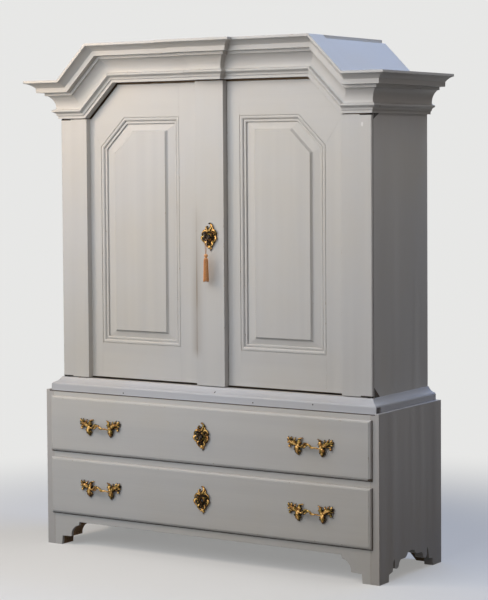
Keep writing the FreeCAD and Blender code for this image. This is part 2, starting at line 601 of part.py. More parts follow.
# pilaster: outer edge rounded about the pivot axis, then mitred back to the stile
ROUND_END = PIVOT_INSET / DIAGONAL
round_middle = (PIVOT_X + PIVOT_INSET * math.cos(math.pi / 8), PIVOT_Y - PIVOT_INSET * math.sin(math.pi / 8))
pilaster_plan = [(PILASTER_INNER, CASE_FRONT), (PIVOT_X, CASE_FRONT),
                 (round_middle, (PIVOT_X + ROUND_END, PIVOT_Y + ROUND_END)),
                 (DOOR_SUM - DOOR_FACE, DOOR_FACE), (PILASTER_INNER, DOOR_FACE)]
pilaster = plan_plate(pilaster_plan, PILASTER_BOTTOM, DOOR_LOW_TOP)

# pivot irons: a plate let into each end of the pilaster, with a pin that turns in the socket
IRON = 4.0
PIN_REACH = 15.0
iron_area = box((CASE_HALF - 50.0, CASE_HALF), (CASE_FRONT, DOOR_FACE),
                (PILASTER_BOTTOM, PILASTER_BOTTOM + IRON))
low_iron = iron_area.common(pilaster)
iron_area.translate(Vector(0, 0, DOOR_LOW_TOP - IRON - PILASTER_BOTTOM))
high_iron = iron_area.common(pilaster)
pilaster = pilaster.cut(low_iron).cut(high_iron)
low_iron = low_iron.fuse(rod(Vector(PIVOT_X, PIVOT_Y, PILASTER_BOTTOM + IRON),
                             Vector(PIVOT_X, PIVOT_Y, PILASTER_BOTTOM - PIN_REACH), PIN_RADIUS))
high_iron = high_iron.fuse(rod(Vector(PIVOT_X, PIVOT_Y, DOOR_LOW_TOP - IRON),
                               Vector(PIVOT_X, PIVOT_Y, DOOR_LOW_TOP + PIN_REACH), PIN_RADIUS))

for side, shift, turn in (("right", 0.0, lambda shape: shape), ("left", LEFT_SHIFT, mirrored)):
    out = Vector(shift, 0, 0)
    hinge_stile, rails = door_frame(shift)
    save(side + "_door_hinge_stile", turn(hinge_stile))
    save(side + "_door_rails", *[turn(rail) for rail in rails])
    save(side + "_door_panel", turn(panel.translated(out)))
    save(side + "_door_panel_moulding", *[turn(run.translated(out)) for run in moulding])
    save(side + "_door_pilaster", turn(pilaster))
    save(side + "_door_pivots", turn(low_iron), turn(high_iron))
save("right_door_lock_stile",
     box((RIGHT_DOOR_EDGE, STILE_INNER), (DOOR_FACE, DOOR_BACK), (DOOR_BOTTOM, DOOR_TOP)))

# ---- left door: lock stile and strip, lock, key and tassel ----------------------------------------
KEY_X = 4.0
KEY_Z = 1250.0
door_keyhole = keyhole(KEY_X, (CASE_FRONT - 1, DOOR_BACK + 1), KEY_Z)
lock_stile = box((-STILE_INNER - LEFT_SHIFT, STRIP_RIGHT), (DOOR_FACE, DOOR_BACK), (DOOR_BOTTOM, DOOR_TOP))
strip = box((STRIP_LEFT, STRIP_RIGHT), (CASE_FRONT, DOOR_FACE), (PILASTER_BOTTOM, STRIP_TOP))
save("left_door_lock_stile", lock_stile.cut(door_keyhole))
save("left_door_lock_strip", strip.cut(door_keyhole))
save("left_door_escutcheon", escutcheon(KEY_X, KEY_Z, CASE_FRONT))

# rim lock: an open box against the back of the stile; the key's tip turns in its cover
LOCK_BACK = DOOR_BACK + 25.0
BOLT_FRONT = DOOR_BACK + 7.0
BOLT_DEPTH = 8.0
BOLT_SPAN = (KEY_Z + 18.0, KEY_Z + 36.0)
lock_case = box((-40.0, 66.0), (DOOR_BACK, LOCK_BACK), (KEY_Z - 50.0, KEY_Z + 50.0))
lock_case = lock_case.cut(box((-37.0, 63.0), (DOOR_BACK - 1, LOCK_BACK - 4.0), (KEY_Z - 47.0, KEY_Z + 47.0)))
lock_case = lock_case.cut(box((60.0, 70.0), (BOLT_FRONT - 0.4, BOLT_FRONT + BOLT_DEPTH + 0.4),
                              (BOLT_SPAN[0] - 0.4, BOLT_SPAN[1] + 0.4)))
lock_case = lock_case.cut(rod(Vector(KEY_X, LOCK_BACK - 6, KEY_Z), Vector(KEY_X, LOCK_BACK + 1, KEY_Z),
                              KEY_BEARING))
save("left_door_lock_case", lock_case)
save("left_door_lock_bolt", box((-15.0, 67.0), (BOLT_FRONT, BOLT_FRONT + BOLT_DEPTH), BOLT_SPAN))

save("left_door_key", standing_key(KEY_X, KEY_Z, CASE_FRONT, LOCK_BACK - 1.0,
                                   (BOLT_FRONT, BOLT_FRONT + 6.0)))

# tassel on a doubled cord that hangs over the lower bar of the bow
CORD_RADIUS = 1.2
KNOT_TOP = KEY_Z - 68.0
STRAND = 1.3
bow_centre = Vector(KEY_X, CASE_FRONT - BOW_STAND, KEY_Z)
loop_centre = bow_centre - UP * BOW_RADIUS
loop_radius = BOW_BAR + CORD_RADIUS + 0.4
drop = loop_centre.z - KNOT_TOP + 1.0
slant = math.atan2(drop, STRAND) - math.acos(loop_radius / math.hypot(drop, STRAND))
cord_foot = loop_centre + Vector(STRAND, 0, -drop)
cord_tangent = loop_centre + Vector(math.cos(slant), 0, -math.sin(slant)) * loop_radius


def other_strand(point):
    return Vector(2 * KEY_X - point.x, point.y, point.z)


cord_path = [
    Part.LineSegment(cord_foot, cord_tangent).toShape(),
    Part.Arc(cord_tangent, loop_centre + UP * loop_radius, other_strand(cord_tangent)).toShape(),
    Part.LineSegment(other_strand(cord_tangent), other_strand(cord_foot)).toShape(),
]
cord_section = polygon(cord_foot, cord_tangent - cord_foot, CORD_RADIUS, 6)
cord = Part.Wire(cord_path).makePipeShell([cord_section], True, False)
cord = cord.cut(box((-50, 50), (-300, 0), (KNOT_TOP - 20, KNOT_TOP)))
print("tassel cord: length %.1f mm, loop radius %.1f mm" % (sum(e.Length for e in cord_path), loop_radius))
save("tassel_cord", cord)

# radius of the tassel and depth below the top of its knot: knot, neck, skirt
tassel_steps = [(3.2, 0.0), (6.2, 3.5), (6.2, 8.0), (3.6, 11.5), (6.8, 15.5), (7.8, 24.0), (8.8, 60.0),
                (10.8, 105.0)]
tassel_rings = [polygon(Vector(KEY_X, bow_centre.y, KNOT_TOP - depth), UP, radius, 16)
                for radius, depth in tassel_steps]
save("tassel", Part.makeLoft(tassel_rings, True, True))

# ---- right door: keeper and two slide bolts -------------------------------------------------------
keeper = box((72.0, 92.0), (DOOR_BACK, DOOR_BACK + 19.0), (BOLT_SPAN[0] - 10.0, BOLT_SPAN[1] + 10.0))
keeper = keeper.cut(box((71.0, 85.0), (BOLT_FRONT - 0.6, BOLT_FRONT + BOLT_DEPTH + 0.6),
                        (BOLT_SPAN[0] - 0.6, BOLT_SPAN[1] + 0.6)))
BOLT_REST = {"top": (1690.0, 1820.0), "bottom": (699.0, 829.0)}
guides = []
for end, (low, high) in BOLT_REST.items():
    bolt = rod(Vector(BOLT_X, BOLT_Y, low), Vector(BOLT_X, BOLT_Y, high), BOLT_RADIUS)
    knob_z = (low + high) / 2
    knob = rod(Vector(BOLT_X, BOLT_Y, knob_z), Vector(BOLT_X, BOLT_Y + 21.0, knob_z), 3.5)
    save("right_door_%s_bolt" % end, bolt.fuse(knob))
    for z in (low + 13.0, high - 25.0):
        guide = box((BOLT_X - 12, BOLT_X + 12), (DOOR_BACK, DOOR_BACK + 16), (z, z + 12))
        guides.append(guide.cut(rod(Vector(BOLT_X, BOLT_Y, z - 1), Vector(BOLT_X, BOLT_Y, z + 13), 5.06)))
save("right_door_irons", keeper, *guides)
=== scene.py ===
"""The looks of a painted kas cupboard: old grey paint, cast brass mounts, iron locks and a silk tassel."""
import math

import bpy
import numpy as np
from mathutils import Matrix


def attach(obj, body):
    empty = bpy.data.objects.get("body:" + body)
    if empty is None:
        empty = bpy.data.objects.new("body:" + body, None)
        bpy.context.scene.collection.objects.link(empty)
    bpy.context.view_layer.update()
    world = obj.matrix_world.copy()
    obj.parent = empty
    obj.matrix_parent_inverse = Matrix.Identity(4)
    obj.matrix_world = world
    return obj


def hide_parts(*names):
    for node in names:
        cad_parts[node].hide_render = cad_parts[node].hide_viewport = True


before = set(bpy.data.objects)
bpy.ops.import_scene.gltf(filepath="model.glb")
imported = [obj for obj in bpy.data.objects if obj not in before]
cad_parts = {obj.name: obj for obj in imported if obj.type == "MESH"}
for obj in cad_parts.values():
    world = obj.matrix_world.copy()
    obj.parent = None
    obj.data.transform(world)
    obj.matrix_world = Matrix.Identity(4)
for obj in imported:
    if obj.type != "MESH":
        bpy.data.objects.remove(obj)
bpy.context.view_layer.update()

# ---- camera ---------------------------------------------------------------------------------------
# A long lens at eye height, well to the right of the cupboard and turned back to face it, a little
# above its middle.
EYE = (4.1736, -6.3089, 1.5714)
EYE_TURN = math.radians(33.12)
EYE_DROP = math.radians(2.87)
EYE_TILT = math.radians(-0.403)

lens = bpy.data.cameras.new("camera")
lens.lens = 116.74
lens.sensor_width = 36.0
lens.shift_y = -1 / 12
camera = bpy.data.objects.new("camera", lens)
camera.matrix_world = (Matrix.Translation(EYE) @ Matrix.Rotation(EYE_TURN, 4, "Z")
                       @ Matrix.Rotation(math.radians(90) - EYE_DROP, 4, "X")
                       @ Matrix.Rotation(EYE_TILT, 4, "Z"))
bpy.context.scene.collection.objects.link(camera)
bpy.context.scene.camera = camera
bpy.context.scene.view_settings.view_transform = "Standard"

# ---- tassel cord ----------------------------------------------------------------------------------
# A thin twisted silk cord, doubled over the lower bar of the key's bow; both ends are bound into the
# tassel's knot. The strands spread round the bar and close up as they come down.
KEY_X = 0.004
KEY_PLANE = -0.184             # the bow stands this far forward
CORD_THICK = 0.0024
CORD_ROUTE = [(0.0053, 1.182), (0.0060, 1.200), (0.0073, 1.220), (0.0079, 1.2335), (0.0079, 1.2415),
              (0.0001, 1.2415), (0.0001, 1.2335), (0.0007, 1.220), (0.0020, 1.200), (0.0027, 1.182)]
CORD_COLOUR = (0.72, 0.46, 0.33, 1)
CORD_SHADE = (0.42, 0.21, 0.12, 1)


def add(tree, kind, inputs=(), **settings):
    """Add a node; an input, by name or number, takes a value or another node's output."""
    node = tree.nodes.new("ShaderNode" + kind)
    for name, value in settings.items():
        setattr(node, name, value)
    for key, value in dict(inputs).items():
        if isinstance(value, bpy.types.NodeSocket):
            tree.links.new(value, node.inputs[key])
        else:
            node.inputs[key].default_value = value
    return node


def blend(tree, share, first, second, way="MIX"):
    """First colour at a share of 0 and second at 1, or another way of mixing them."""
    node = add(tree, "Mix", {0: share, 6: first, 7: second}, data_type="RGBA", blend_type=way)
    return node.outputs[2]


def stretched(tree, place, scale):
    """Coordinates multiplied along each axis, so that a pattern is drawn out."""
    return add(tree, "Mapping", {"Vector": place, "Scale": scale}).outputs[0]


def new_material(name, **constants):
    """Material with one principled shader, and constants for its sockets.

    Returns the material, its node tree, the shader and the Object coordinates.
    """
    material = bpy.data.materials.new(name)
    material.use_nodes = True
    tree = material.node_tree
    shader = tree.nodes["Principled BSDF"]
    for socket, value in constants.items():
        shader.inputs[socket.replace("_", " ")].default_value = value
    place = add(tree, "TexCoord").outputs["Object"]
    return material, tree, shader, place


def feed(tree, shader, **outputs):
    """Link outputs to the shader's sockets, with an underscore for each space in a socket's name."""
    for socket, output in outputs.items():
        tree.links.new(output, shader.inputs[socket.replace("_", " ")])


silk_cord, tree, shader, place = new_material("silk_cord", Roughness=0.55)
# painted shade: the lay's diagonal bands darken towards CORD_SHADE between the strands
lay = add(tree, "TexWave", {"Vector": stretched(tree, place, (1, 1, 0.6)), "Scale": 500.0},
          bands_direction="DIAGONAL").outputs[1]
feed(tree, shader, Base_Color=blend(tree, lay, CORD_SHADE, CORD_COLOUR),
     Normal=add(tree, "Bump", {"Height": lay, "Distance": 0.0004}).outputs[0])

line = bpy.data.curves.new("tassel_silk_cord", "CURVE")
line.dimensions = "3D"
line.bevel_depth = CORD_THICK / 2
line.bevel_resolution = 4
line.use_fill_caps = True
route = line.splines.new("NURBS")
route.points.add(len(CORD_ROUTE) - 1)
for point, (x, z) in zip(route.points, CORD_ROUTE):
    point.co = (x, KEY_PLANE, z, 1)
route.order_u = 3
route.use_endpoint_u = True
route.resolution_u = 12
line.materials.append(silk_cord)
tassel_cord = bpy.data.objects.new("tassel_silk_cord", line)
bpy.context.scene.collection.objects.link(tassel_cord)
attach(tassel_cord, "tassel")
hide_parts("tassel_cord")

# ---- tassel ---------------------------------------------------------------------------------------
# Twisted silk threads bound over a wooden core: a wound knot, a narrow neck whipped with thread, and a
# skirt of loose threads that hang a little unevenly.
TASSEL_TOP = 1.186
SKIRT_TOP = 15.0               # mm below the top of the knot
SKIRT_ROWS = 60
THREADS = 34
THREAD_POINTS = 6              # points of a ring to one thread
KNOT = [(0.6, 0.0), (3.6, 0.4), (6.4, 3.2), (7.2, 7.0), (6.2, 10.4), (4.2, 12.6)]
NECK = [(4.2, 12.4), (5.1, 13.0), (5.3, 13.8), (5.0, 14.7), (5.3, 15.6), (5.0, 16.4), (3.6, 17.0)]
SKIRT = [(3.4, 15.2), (6.6, 17.2), (8.2, 22.0), (8.8, 32.0), (9.2, 57.0), (9.8, 82.0), (10.8, 108.0)]
SILK_COLOUR = (0.86, 0.43, 0.16, 1)
SILK_FADED = (0.66, 0.30, 0.10, 1)
SILK_SHADE = (0.34, 0.13, 0.045, 1)


def rise(tree, value, low, high):
    """0 below low and 1 above high, with a smooth step between; low above high turns it round."""
    span = {"Value": value, "From Min": low, "From Max": high}
    return add(tree, "MapRange", span, interpolation_type="SMOOTHSTEP").outputs[0]


def noise(tree, place, scale, detail=2.0, roughness=0.5):
    """Soft random pattern between 0 and 1, with scale lumps to the metre."""
    fields = {"Vector": place, "Scale": scale, "Detail": detail, "Roughness": roughness}
    return add(tree, "TexNoise", fields).outputs[0]


def shell(rings, looped=False, relief=None):
    """Closed surface through rings of points: points, quads, triangles and relief, facing outwards.

    rings is an array of ring x point x coordinate. Each ring is joined to the next by quads. The end
    rings close in a fan to their middle, or, when looped, the last ring joins the first. relief is a
    number for each point, 1 on a ridge that is rubbed bright and 0 in a hollow.
    """
    count, around = rings.shape[:2]
    number = np.arange(count * around).reshape(count, around)
    onward = np.roll(number, -1, axis=0) if looped else number[1:]
    here = number if looped else number[:-1]
    corners = [here, np.roll(here, -1, axis=1), np.roll(onward, -1, axis=1), onward]
    quads = np.stack(corners, axis=-1).reshape(-1, 4)
    points = rings.reshape(-1, 3)
    relief = np.broadcast_to(0.0 if relief is None else relief, (count, around)).ravel()
    fans = np.zeros((0, 3), int)
    if not looped:
        points = np.vstack([points, rings[0].mean(axis=0), rings[-1].mean(axis=0)])
        relief = np.append(relief, (relief[0], relief[-1]))
        first = np.full(around, count * around)
        start = np.stack([np.roll(number[0], -1), number[0], first], axis=-1)
        end = np.stack([number[-1], np.roll(number[-1], -1), first + 1], axis=-1)
        fans = np.vstack([start, end])
    triangles = np.vstack([quads[:, :3], quads[:, [0, 2, 3]], fans])
    a, b, c = (points[triangles[:, corner]] for corner in range(3))
    volume = np.einsum("ij,ij->", a, np.cross(b, c))
    if volume < 0:
        quads = quads[:, ::-1]
        fans = fans[:, ::-1]
    return points, quads, fans, relief


def make_piece(name, shells, material, body, slot, *nodes):
    """One piece from closed shells: it rides on a body and stands for the nodes named."""
    starts = np.cumsum([0] + [len(part[0]) for part in shells[:-1]])
    faces = []
    for start, (_, quads, fans, _) in zip(starts, shells):
        faces += (quads + start).tolist() + (fans + start).tolist()
    mesh = bpy.data.meshes.new(name)
    mesh.from_pydata(np.vstack([part[0] for part in shells]).tolist(), [], faces)
    mesh.polygons.foreach_set("use_smooth", np.ones(len(faces), bool))
    relief = mesh.attributes.new("relief", "FLOAT", "POINT")
    relief.data.foreach_set("value", np.concatenate([part[3] for part in shells]))
    mesh.materials.append(material)
    piece = bpy.data.objects.new(name, mesh)
    bpy.context.scene.collection.objects.link(piece)
    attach(piece, body)
    if nodes:
        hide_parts(*nodes)
    return piece


def smooth_line(points, count):
    """Catmull-Rom curve through the points, as count points evenly spread in its parameter."""
    points = np.asarray(points, float)
    held = np.vstack([2 * points[0] - points[1], points, 2 * points[-1] - points[-2]])
    place = np.linspace(0, len(points) - 1, count)
    first = np.minimum(place.astype(int), len(points) - 2)
    t = (place - first)[:, None]
    a, b, c, d = (held[first + i] for i in range(4))
    return 0.5 * (2 * b + (c - a) * t + (2 * a - 5 * b + 4 * c - d) * t ** 2
                  + (3 * b - a - 3 * c + d) * t ** 3)


def thread_surface(half_section, rows, threads, depth, twist):
    """Surface of revolution on the tassel's axis, ribbed by threads that wind round it.

    radius = half section x (1 + depth x |cos|), where the cosine turns once in two threads and moves
    round the axis by twist turns over the height.
    """
    section = smooth_line(half_section, rows)
    angle = np.linspace(0, 2 * np.pi, threads * THREAD_POINTS, endpoint=False)
    lean = twist * 2 * np.pi * np.linspace(0, 1, rows)[:, None]
    rib = 1 + depth * (np.abs(np.cos((angle + lean) * threads / 2)) - 0.7)
    radius = section[:, :1] * rib / 1000
    drop = np.broadcast_to(section[:, 1:], radius.shape) / 1000
    return np.stack([KEY_X + radius * np.cos(angle), KEY_PLANE + radius * np.sin(angle),
                     TASSEL_TOP - drop], axis=-1)


# The skirt's threads end up to 3.5% short of each other and sway a little; below, it closes in a hollow.
skirt = thread_surface(SKIRT, SKIRT_ROWS, THREADS, depth=0.16, twist=0.03)
thread = np.arange(THREADS * THREAD_POINTS) // THREAD_POINTS
hang = np.linspace(0, 1, SKIRT_ROWS)[:, None] ** 3
uneven = (0.02 * np.sin(thread * 2.4) + 0.015 * np.sin(thread * 5.1) - 0.035) * hang
sway = 0.05 * np.sin(thread * 1.7) * hang
skirt_top = TASSEL_TOP - SKIRT_TOP / 1000
skirt[..., 2] = skirt_top - (skirt_top - skirt[..., 2]) * (1 + uneven)
skirt[..., 0] = KEY_X + (skirt[..., 0] - KEY_X) * (1 + sway)
skirt[..., 1] = KEY_PLANE + (skirt[..., 1] - KEY_PLANE) * (1 + sway)
hollow_ring = skirt[-1:] * 0.4 + skirt[-1:].mean(axis=1, keepdims=True) * 0.6
hollow_ring[..., 2] += 0.004
skirt = np.concatenate([skirt, hollow_ring])

silk, tree, shader, place = new_material("tassel_silk", Roughness=0.5, Sheen_Weight=0.3)
strands = noise(tree, stretched(tree, place, (900, 900, 12)), 1.0, 3.0)
# painted shade: the silk darkens towards SILK_SHADE where ambient occlusion finds the hollows between threads
thread_hollow_shade = add(tree, "AmbientOcclusion", {"Distance": 0.004}, samples=8).outputs["AO"]
silk_tone = blend(tree, rise(tree, strands, 0.3, 0.7), SILK_FADED, SILK_COLOUR)
feed(tree, shader, Base_Color=blend(tree, rise(tree, thread_hollow_shade, 0.25, 0.9), SILK_SHADE, silk_tone),
     Normal=add(tree, "Bump", {"Height": strands, "Distance": 0.0005}).outputs[0])
wound = [shell(thread_surface(KNOT, 26, 22, depth=0.10, twist=0.22)),
         shell(thread_surface(NECK, 36, 6, depth=0.0, twist=0.0))]
knot = make_piece("silk_knot", wound, silk, "tassel", "tassel_silk", "tassel")
make_piece("silk_skirt", [shell(skirt)], silk, "tassel", "tassel_silk", "tassel")

# ---- floor and lamps ------------------------------------------------------------------------------
# A plain pale floor that runs out into a background of the same tone. One wide lamp hangs in front and
# reaches far to both sides; small ones warm the upper left, lift the foot and show the roof and side.
PALE = (0.80, 0.80, 0.79, 1)
FLOOR_HALF = 30.0
FLOOR_NEAR = 1.0               # the floor takes shadows up to here and is plain background from FLOOR_FAR
FLOOR_FAR = 2.8
FLOOR_GLOW = 0.35
FLOOR_GREY = (0.52, 0.52, 0.515, 1)
FLOOR_BOUNCE = (0.082, 0.079, 0.076, 1)  # what the floor throws back on to the cupboard
AIR = (1.0, 0.95, 0.92, 1)
AIR_STRENGTH = 0.03
LAMPS = {  # place, the point aimed at, diameter, watts, colour
    "wide_lamp": ((-0.4, -2.25, 2.7), (0.0, 0.0, 1.3), 3.4, 69.5, (0.93, 0.96, 1.0)),
    "left_lamp": ((-1.7, -1.5, 2.3), (-0.3, 0.0, 1.7), 1.0, 20, (1.0, 0.74, 0.50)),
    "low_lamp": ((-2.6, -2.6, 0.7), (0.0, 0.0, 0.6), 1.6, 11.5, (0.72, 0.89, 1.0)),
    "roof_lamp": ((0.55, 0.9, 4.5), (0.6, 0.1, 1.8), 1.4, 52, (0.24, 0.46, 1.0)),
    "right_roof_lamp": ((1.6, 0.4, 3.4), (0.6, 0.0, 1.9), 1.0, 13, (0.83, 0.90, 1.0)),
    "right_lamp": ((2.4, -0.4, 3.2), (0.7, 0.0, 1.0), 1.2, 3.4, (1.0, 0.82, 0.78)),
    "front_right_lamp": ((2.3, -2.5, 1.5), (0.3, 0.0, 1.5), 1.0, 5.0, (1.0, 0.80, 0.70)),
}

floor_corners = [(-FLOOR_HALF, -FLOOR_HALF, 0), (FLOOR_HALF, -FLOOR_HALF, 0), (FLOOR_HALF, FLOOR_HALF, 0),
                 (-FLOOR_HALF, FLOOR_HALF, 0)]
floor_mesh = bpy.data.meshes.new("floor")
floor_mesh.from_pydata(floor_corners, [], [(0, 1, 2, 3)])
floor = bpy.data.objects.new("floor", floor_mesh)
bpy.context.scene.collection.objects.link(floor)


def calc(tree, operation, *values):
    """One step of arithmetic on values or outputs."""
    return add(tree, "Math", enumerate(values), operation=operation).outputs[0]


def seen(tree):
    """1 for what the camera sees, straight or in metal and glass."""
    path = add(tree, "LightPath").outputs
    bright = calc(tree, "MAXIMUM", path["Is Camera Ray"], path["Is Glossy Ray"])
    return calc(tree, "MAXIMUM", bright, path["Is Transmission Ray"])


floor_material = bpy.data.materials.new("floor")
floor_material.use_nodes = True
tree = floor_material.node_tree
tree.nodes.remove(tree.nodes["Principled BSDF"])
place = add(tree, "TexCoord").outputs["Object"]
distance = add(tree, "VectorMath", {0: place}, operation="LENGTH").outputs["Value"]
lit = add(tree, "BsdfDiffuse", {"Color": FLOOR_GREY}).outputs[0]
glow = add(tree, "Emission", {"Color": PALE, "Strength": FLOOR_GLOW}).outputs[0]
near = add(tree, "AddShader", {0: lit, 1: glow}).outputs[0]
far = add(tree, "Emission", {"Color": PALE}).outputs[0]
shown = add(tree, "MixShader", {0: rise(tree, distance, FLOOR_NEAR, FLOOR_FAR), 1: near, 2: far}).outputs[0]
bounce = add(tree, "BsdfDiffuse", {"Color": FLOOR_BOUNCE}).outputs[0]
surface = add(tree, "MixShader", {0: seen(tree), 1: bounce, 2: shown}).outputs[0]
tree.links.new(surface, tree.nodes["Material Output"].inputs["Surface"])
floor_mesh.materials.append(floor_material)

world = bpy.data.worlds.new("studio")
bpy.context.scene.world = world
world.use_nodes = True
tree = world.node_tree
soft = add(tree, "Background", {"Color": AIR, "Strength": AIR_STRENGTH}).outputs[0]
paper = add(tree, "Background", {"Color": PALE, "Strength": 1.0}).outputs[0]
surface = add(tree, "MixShader", {0: seen(tree), 1: soft, 2: paper}).outputs[0]
tree.links.new(surface, tree.nodes["World Output"].inputs["Surface"])


def add_lamp(name, place, aim, size, power, colour):
    """Round area lamp at a place, turned to face the point that it is aimed at."""
    light = bpy.data.lights.new(name, "AREA")
    light.shape = "DISK"
    light.size = size
    light.energy = power
    light.color = colour
    lamp = bpy.data.objects.new(name, light)
    lamp.visible_camera = False
    way = np.subtract(aim, place)
    flat = math.hypot(way[0], way[1])
    turn = math.atan2(way[1], way[0]) - math.pi / 2
    lamp.matrix_world = (Matrix.Translation(place) @ Matrix.Rotation(turn, 4, "Z")
                         @ Matrix.Rotation(math.pi / 2 + math.atan2(way[2], flat), 4, "X"))
    bpy.context.scene.collection.objects.link(lamp)


for name, lamp in LAMPS.items():
    add_lamp(name, *lamp)

# ---- chest front and sides ------------------------------------------------------------------------
# Pine boards under several coats of pale grey oil paint, brushed on along each board, a little yellowed
# and rubbed through at the edges. A near-black line of painted shade stands for the gap under each lipped
# drawer front and beside it.
PAINT = (0.545, 0.540, 0.532, 1)
# painted shade: the chest's side boards take a darker grey that stands for the shade falling on them
PAINT_SHADED_SIDES = (0.475, 0.462, 0.456, 1)
YELLOWED = (1.0, 0.965, 0.90, 1)       # the paint is multiplied by this where it has aged most
THIN_LAP = (0.955, 0.955, 0.96, 1)     # and by these from one lap of the brush to the next
THICK_LAP = (1.02, 1.02, 1.015, 1)
UNCHANGED = (1, 1, 1, 1)
# patchy grime mixed with painted shade, laid into inner corners and creases
GRIME_AND_SHADE = (0.17, 0.15, 0.13, 1)
# near-black: painted shade in the gaps under the drawers, the waist moulding and the doors, and the nail
# heads' own dark
GAP_SHADE_AND_NAILS = (0.045, 0.035, 0.03, 1)
WOOD = (0.42, 0.28, 0.16, 1)
WOOD_DARK = (0.22, 0.125, 0.06, 1)
WOOD_AGED = (0.25, 0.17, 0.10, 1)
WOOD_ROUGHNESS = (0.78, 0.78, 0.78, 1)
EDGE_SOFTNESS = 0.0016         # radius to which paint rounds an edge
UPRIGHT = (160, 160, 5)        # brush strokes along z, x or y, as strokes to the metre on each axis
LEVEL = (5, 160, 160)
ENDWAYS = (160, 5, 160)
ACROSS = 100                   # an axis with more strokes to the metre than this lies across them
DRAWER_SPANS = [(0.129, 0.354), (0.380, 0.601)]
DRAWER_HALF = 0.737
GAP = 0.0046
RAIL_PAINT_END = -0.190        # behind this y the rails were never painted
SIDE_INNER_FACE = 0.730        # x of the chest sides' bare inner faces


def new_group(name, inputs, outputs):
    """Node group with named sockets; returns its tree, what it is given and what it gives."""
    group = bpy.data.node_groups.new(name, "ShaderNodeTree")
    kinds = {float: "NodeSocketFloat", 3: "NodeSocketVector", 4: "NodeSocketColor"}
    for socket, value in inputs.items():
        kind = kinds[float if isinstance(value, float) else len(value)]
        group.interface.new_socket(name=socket, in_out="INPUT", socket_type=kind).default_value = value
    for socket, kind in outputs.items():
        group.interface.new_socket(name=socket, in_out="OUTPUT", socket_type=kinds[kind])
    given = group.nodes.new("NodeGroupInput").outputs
    gives = group.nodes.new("NodeGroupOutput").inputs
    return group, given, gives


def use(tree, group, **inputs):
    """Place a node group in a tree with values of its own; returns its outputs."""
    return add(tree, "Group", inputs, node_tree=group).outputs


def give(group, gives, **outputs):
    """Link results to the sockets that a node group gives out."""
    for socket, output in outputs.items():
        group.links.new(output, gives[socket])


def product(tree, *factors):
    """Values multiplied with each other."""
    result = factors[0]
    for factor in factors[1:]:
        result = calc(tree, "MULTIPLY", result, factor)
    return result


# Where the paint has rubbed through: along sharp edges, in flakes.
edges, given, gives = new_group("rubbed_edges", {"Radius": 0.004, "Amount": 0.5},
                                {"Mask": float, "Normal": 3})
place = add(edges, "TexCoord").outputs["Object"]
rounded = add(edges, "Bevel", {"Radius": given["Radius"]}, samples=6).outputs[0]
true_normal = add(edges, "NewGeometry").outputs["Normal"]
agree = add(edges, "VectorMath", {0: rounded, 1: true_normal}, operation="DOT_PRODUCT").outputs["Value"]
flakes = calc(edges, "ADD", noise(edges, place, 55.0, 4.0, 0.65), product(edges, given["Amount"], 0.16))
give(edges, gives, Mask=product(edges, rise(edges, agree, 0.995, 0.93), rise(edges, flakes, 0.72, 0.76)),
     Normal=add(edges, "Bevel", {"Radius": EDGE_SOFTNESS}, samples=6).outputs[0])

# Paint with its bristle marks and laps, yellowed in clouds, with grime and painted shade darkening the
# inner corners where ambient occlusion finds them.
paint, given, gives = new_group("brushed_paint",
                                {"Colour": PAINT, "Strokes": UPRIGHT, "Turn": 0.0, "Grime and Shade": 0.5},
                                {"Colour": 4, "Height": float, "Roughness": float})
place = add(paint, "TexCoord").outputs["Object"]
turned_place = add(paint, "VectorRotate", {"Vector": place, "Angle": given["Turn"]},
                   rotation_type="Y_AXIS").outputs[0]
drawn = add(paint, "VectorMath", {0: turned_place, 1: given["Strokes"]}, operation="MULTIPLY").outputs[0]
bristles = noise(paint, drawn, 1.0, 3.0, 0.6)
drawn_wide = add(paint, "VectorMath", {0: drawn, 1: (0.13, 0.13, 0.13)}, operation="MULTIPLY").outputs[0]
laps = noise(paint, drawn_wide, 1.0, 2.0)
cloud = noise(paint, place, 1.7, 4.0, 0.55)
aged = blend(paint, rise(paint, cloud, 0.35, 0.75), UNCHANGED, YELLOWED)
tone = blend(paint, 1.0, given["Colour"], aged, "MULTIPLY")
streak = blend(paint, rise(paint, laps, 0.25, 0.75), THIN_LAP, THICK_LAP)
tone = blend(paint, 1.0, tone, streak, "MULTIPLY")
# painted shade: the colour darkens where ambient occlusion finds a corner or crease, broken up by noise as
# grime
shelter = add(paint, "AmbientOcclusion", {"Distance": 0.012}, samples=8).outputs["AO"]
openness = calc(paint, "ADD", shelter, noise(paint, place, 30.0, 3.0))
grime_and_shade = product(paint, rise(paint, openness, 1.0, 0.3), given["Grime and Shade"])
give(paint, gives, Colour=blend(paint, grime_and_shade, tone, GRIME_AND_SHADE), Roughness=rise(paint, laps, -1.2, 2.2),
     Height=calc(paint, "ADD", bristles, product(paint, noise(paint, place, 240.0, 2.0), 0.35)))

# Pine with its yearly bands and pores, browned by age in patches.
grain, given, gives = new_group("board_grain", {"Along": (1.0, 1.0, 0.06)}, {"Colour": 4, "Height": float})
place = add(grain, "TexCoord").outputs["Object"]
drawn = add(grain, "VectorMath", {0: place, 1: given["Along"]}, operation="MULTIPLY").outputs[0]
figure = add(grain, "TexNoise", {"Vector": drawn, "Scale": 26.0, "Detail": 3.0, "Distortion": 1.6}).outputs[0]
pores = noise(grain, drawn, 420.0, 2.0)
bands = calc(grain, "FRACT", product(grain, figure, 7.0))
tone = blend(grain, rise(grain, bands, 0.05, 0.95), WOOD, WOOD_DARK)
tone = blend(grain, product(grain, rise(grain, pores, 0.5, 0.8), 0.5), tone, WOOD_DARK)
age = noise(grain, place, 2.3, 4.0)
give(grain, gives, Colour=blend(grain, rise(grain, age, 0.3, 0.75), tone, WOOD_AGED),
     Height=calc(grain, "ADD", product(grain, bands, 0.4), pores))


